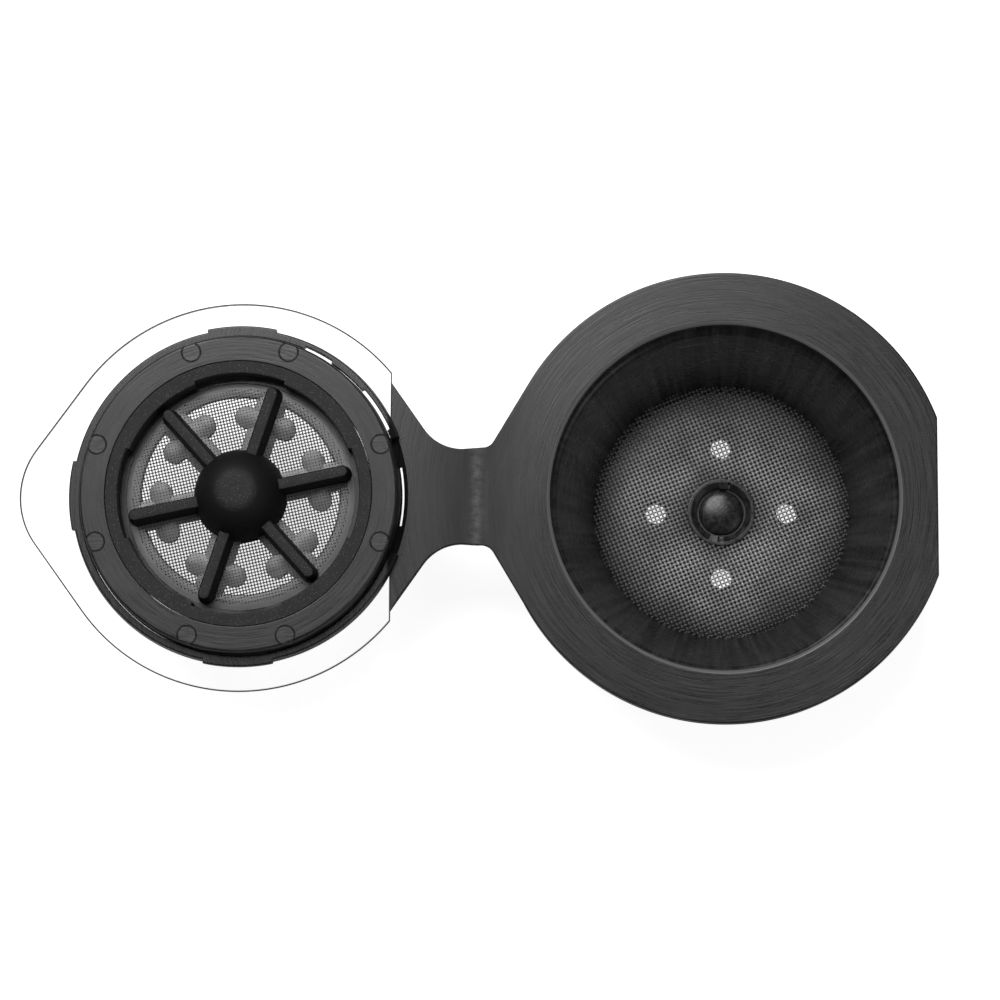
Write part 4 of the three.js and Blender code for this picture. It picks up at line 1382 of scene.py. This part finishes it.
def floor_sheet(colour):
    """Square floor under the capsule. Its colour is plain to lamps, and the camera and clear
    rays see it near white, with the capsule's shadow on it."""
    mesh = bpy.data.meshes.new("floor")
    side, level = 3.0, -0.0002
    corners = [(-side, -side), (side, -side), (side, side), (-side, side)]
    mesh.from_pydata([(x, y, level) for x, y in corners], [], [(0, 1, 2, 3)])
    made = bpy.data.materials.new("Pale floor")
    made.use_nodes = True
    tree = made.node_tree
    shader = tree.nodes["Principled BSDF"]
    shader.inputs["Base Color"].default_value = (*colour, 1.0)
    shader.inputs["Roughness"].default_value = 0.9
    shader.inputs["Specular IOR Level"].default_value = 0.0
    rays = tree.nodes.new("ShaderNodeLightPath").outputs
    seen = maths(tree, "MAXIMUM", rays["Is Camera Ray"], rays["Is Transmission Ray"])
    shader.inputs["Emission Color"].default_value = (1, 1, 1, 1)
    glow = maths(tree, "MULTIPLY", seen, FLOOR_GLOW)
    tree.links.new(glow, shader.inputs["Emission Strength"])
    mesh.materials.append(made)
    floor = bpy.data.objects.new("floor", mesh)
    bpy.context.scene.collection.objects.link(floor)


def soft_lamp(name, place, target, size, power):
    """Square area lamp that faces a target; places in metres."""
    data = bpy.data.lights.new(name, "AREA")
    data.size = size
    data.energy = power
    lamp = bpy.data.objects.new(name, data)
    lamp.matrix_world = facing(place, target, (0.0, 1.0, 0.02))
    bpy.context.scene.collection.objects.link(lamp)


def facing(place, target, up):
    """Matrix of a lamp at a place whose -Z axis points to the target."""
    back = np.subtract(place, target)
    back /= np.linalg.norm(back)
    right = np.cross(up, back)
    right /= np.linalg.norm(right)
    rows = [[right[k], np.cross(back, right)[k], back[k], place[k]] for k in range(3)]
    return Matrix([*rows, [0, 0, 0, 1]])


class CAPSULE_OT_stage(bpy.types.Operator):
    """Pale floor, soft lamps, even world light and the camera above the capsule"""

    bl_idname = "capsule.stage"
    bl_label = "Stage"

    def execute(self, context):
        scene = context.scene
        scene.view_settings.view_transform = "Standard"
        floor_sheet(scene.capsule_colours.floor)
        soft_lamp("key lamp", (-0.2, 0.42, 0.78), STAGE_MIDDLE, 0.55, 5.5)
        soft_lamp("fill lamp", (0.6, -0.35, 0.6), STAGE_MIDDLE, 0.5, 0.7)
        world = bpy.data.worlds.new("Even light")
        world.use_nodes = True
        tree = world.node_tree
        rays = tree.nodes.new("ShaderNodeLightPath").outputs
        glossy = maths(tree, "MULTIPLY", rays["Is Glossy Ray"], WORLD_GLOSSY)
        seen = maths(tree, "MAXIMUM", rays["Is Camera Ray"], rays["Is Transmission Ray"])
        spread = maths(tree, "MULTIPLY", rays["Is Diffuse Ray"], WORLD_DIFFUSE)
        level = maths(tree, "MAXIMUM", seen, maths(tree, "MAXIMUM", glossy, spread))
        background = tree.nodes["Background"]
        background.inputs["Color"].default_value = (1, 1, 1, 1)
        tree.links.new(level, background.inputs["Strength"])
        scene.world = world
        data = bpy.data.cameras.new("Camera")
        data.sensor_width = 36.0
        data.lens = CAMERA_LENS
        data.clip_start = 0.01
        data.clip_end = 50.0
        camera = bpy.data.objects.new("Camera", data)
        camera.location = CAMERA_PLACE
        camera.rotation_euler = [math.radians(a) for a in CAMERA_TURN]
        scene.collection.objects.link(camera)
        scene.camera = camera
        return {"FINISHED"}


class CAPSULE_PT_pieces(bpy.types.Panel):
    """Sizes, colours and pieces of the capsule"""

    bl_idname = "CAPSULE_PT_pieces"
    bl_label = "Coffee capsule"
    bl_space_type = "VIEW_3D"
    bl_region_type = "UI"
    bl_category = "Capsule"

    def draw(self, context):
        layout = self.layout
        for group in (context.scene.capsule_sizes, context.scene.capsule_colours):
            for name in group.__annotations__:
                layout.prop(group, name)
        for operator in OPERATORS:
            layout.operator(operator.bl_idname)


OPERATORS = (
    CAPSULE_OT_stage,
    CAPSULE_OT_cup,
    CAPSULE_OT_cup_cloth,
    CAPSULE_OT_strap,
    CAPSULE_OT_plate,
    CAPSULE_OT_rings,
    CAPSULE_OT_lid_cloth,
    CAPSULE_OT_star,
)
CLASSES = (CapsuleSizes, CapsuleColours, *OPERATORS, CAPSULE_PT_pieces)


def register():
    for cls in CLASSES:
        bpy.utils.register_class(cls)
    bpy.types.Scene.capsule_sizes = bpy.props.PointerProperty(type=CapsuleSizes)
    bpy.types.Scene.capsule_colours = bpy.props.PointerProperty(type=CapsuleColours)


def unregister():
    del bpy.types.Scene.capsule_colours
    del bpy.types.Scene.capsule_sizes
    for cls in reversed(CLASSES):
        bpy.utils.unregister_class(cls)


def main():
    """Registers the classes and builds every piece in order."""
    register()
    bpy.ops.capsule.stage()
    bpy.ops.capsule.cup()
    bpy.ops.capsule.cup_cloth()
    bpy.ops.capsule.strap()
    bpy.ops.capsule.plate()
    bpy.ops.capsule.rings()
    bpy.ops.capsule.lid_cloth()
    bpy.ops.capsule.star()


if __name__ == "__main__":
    main()
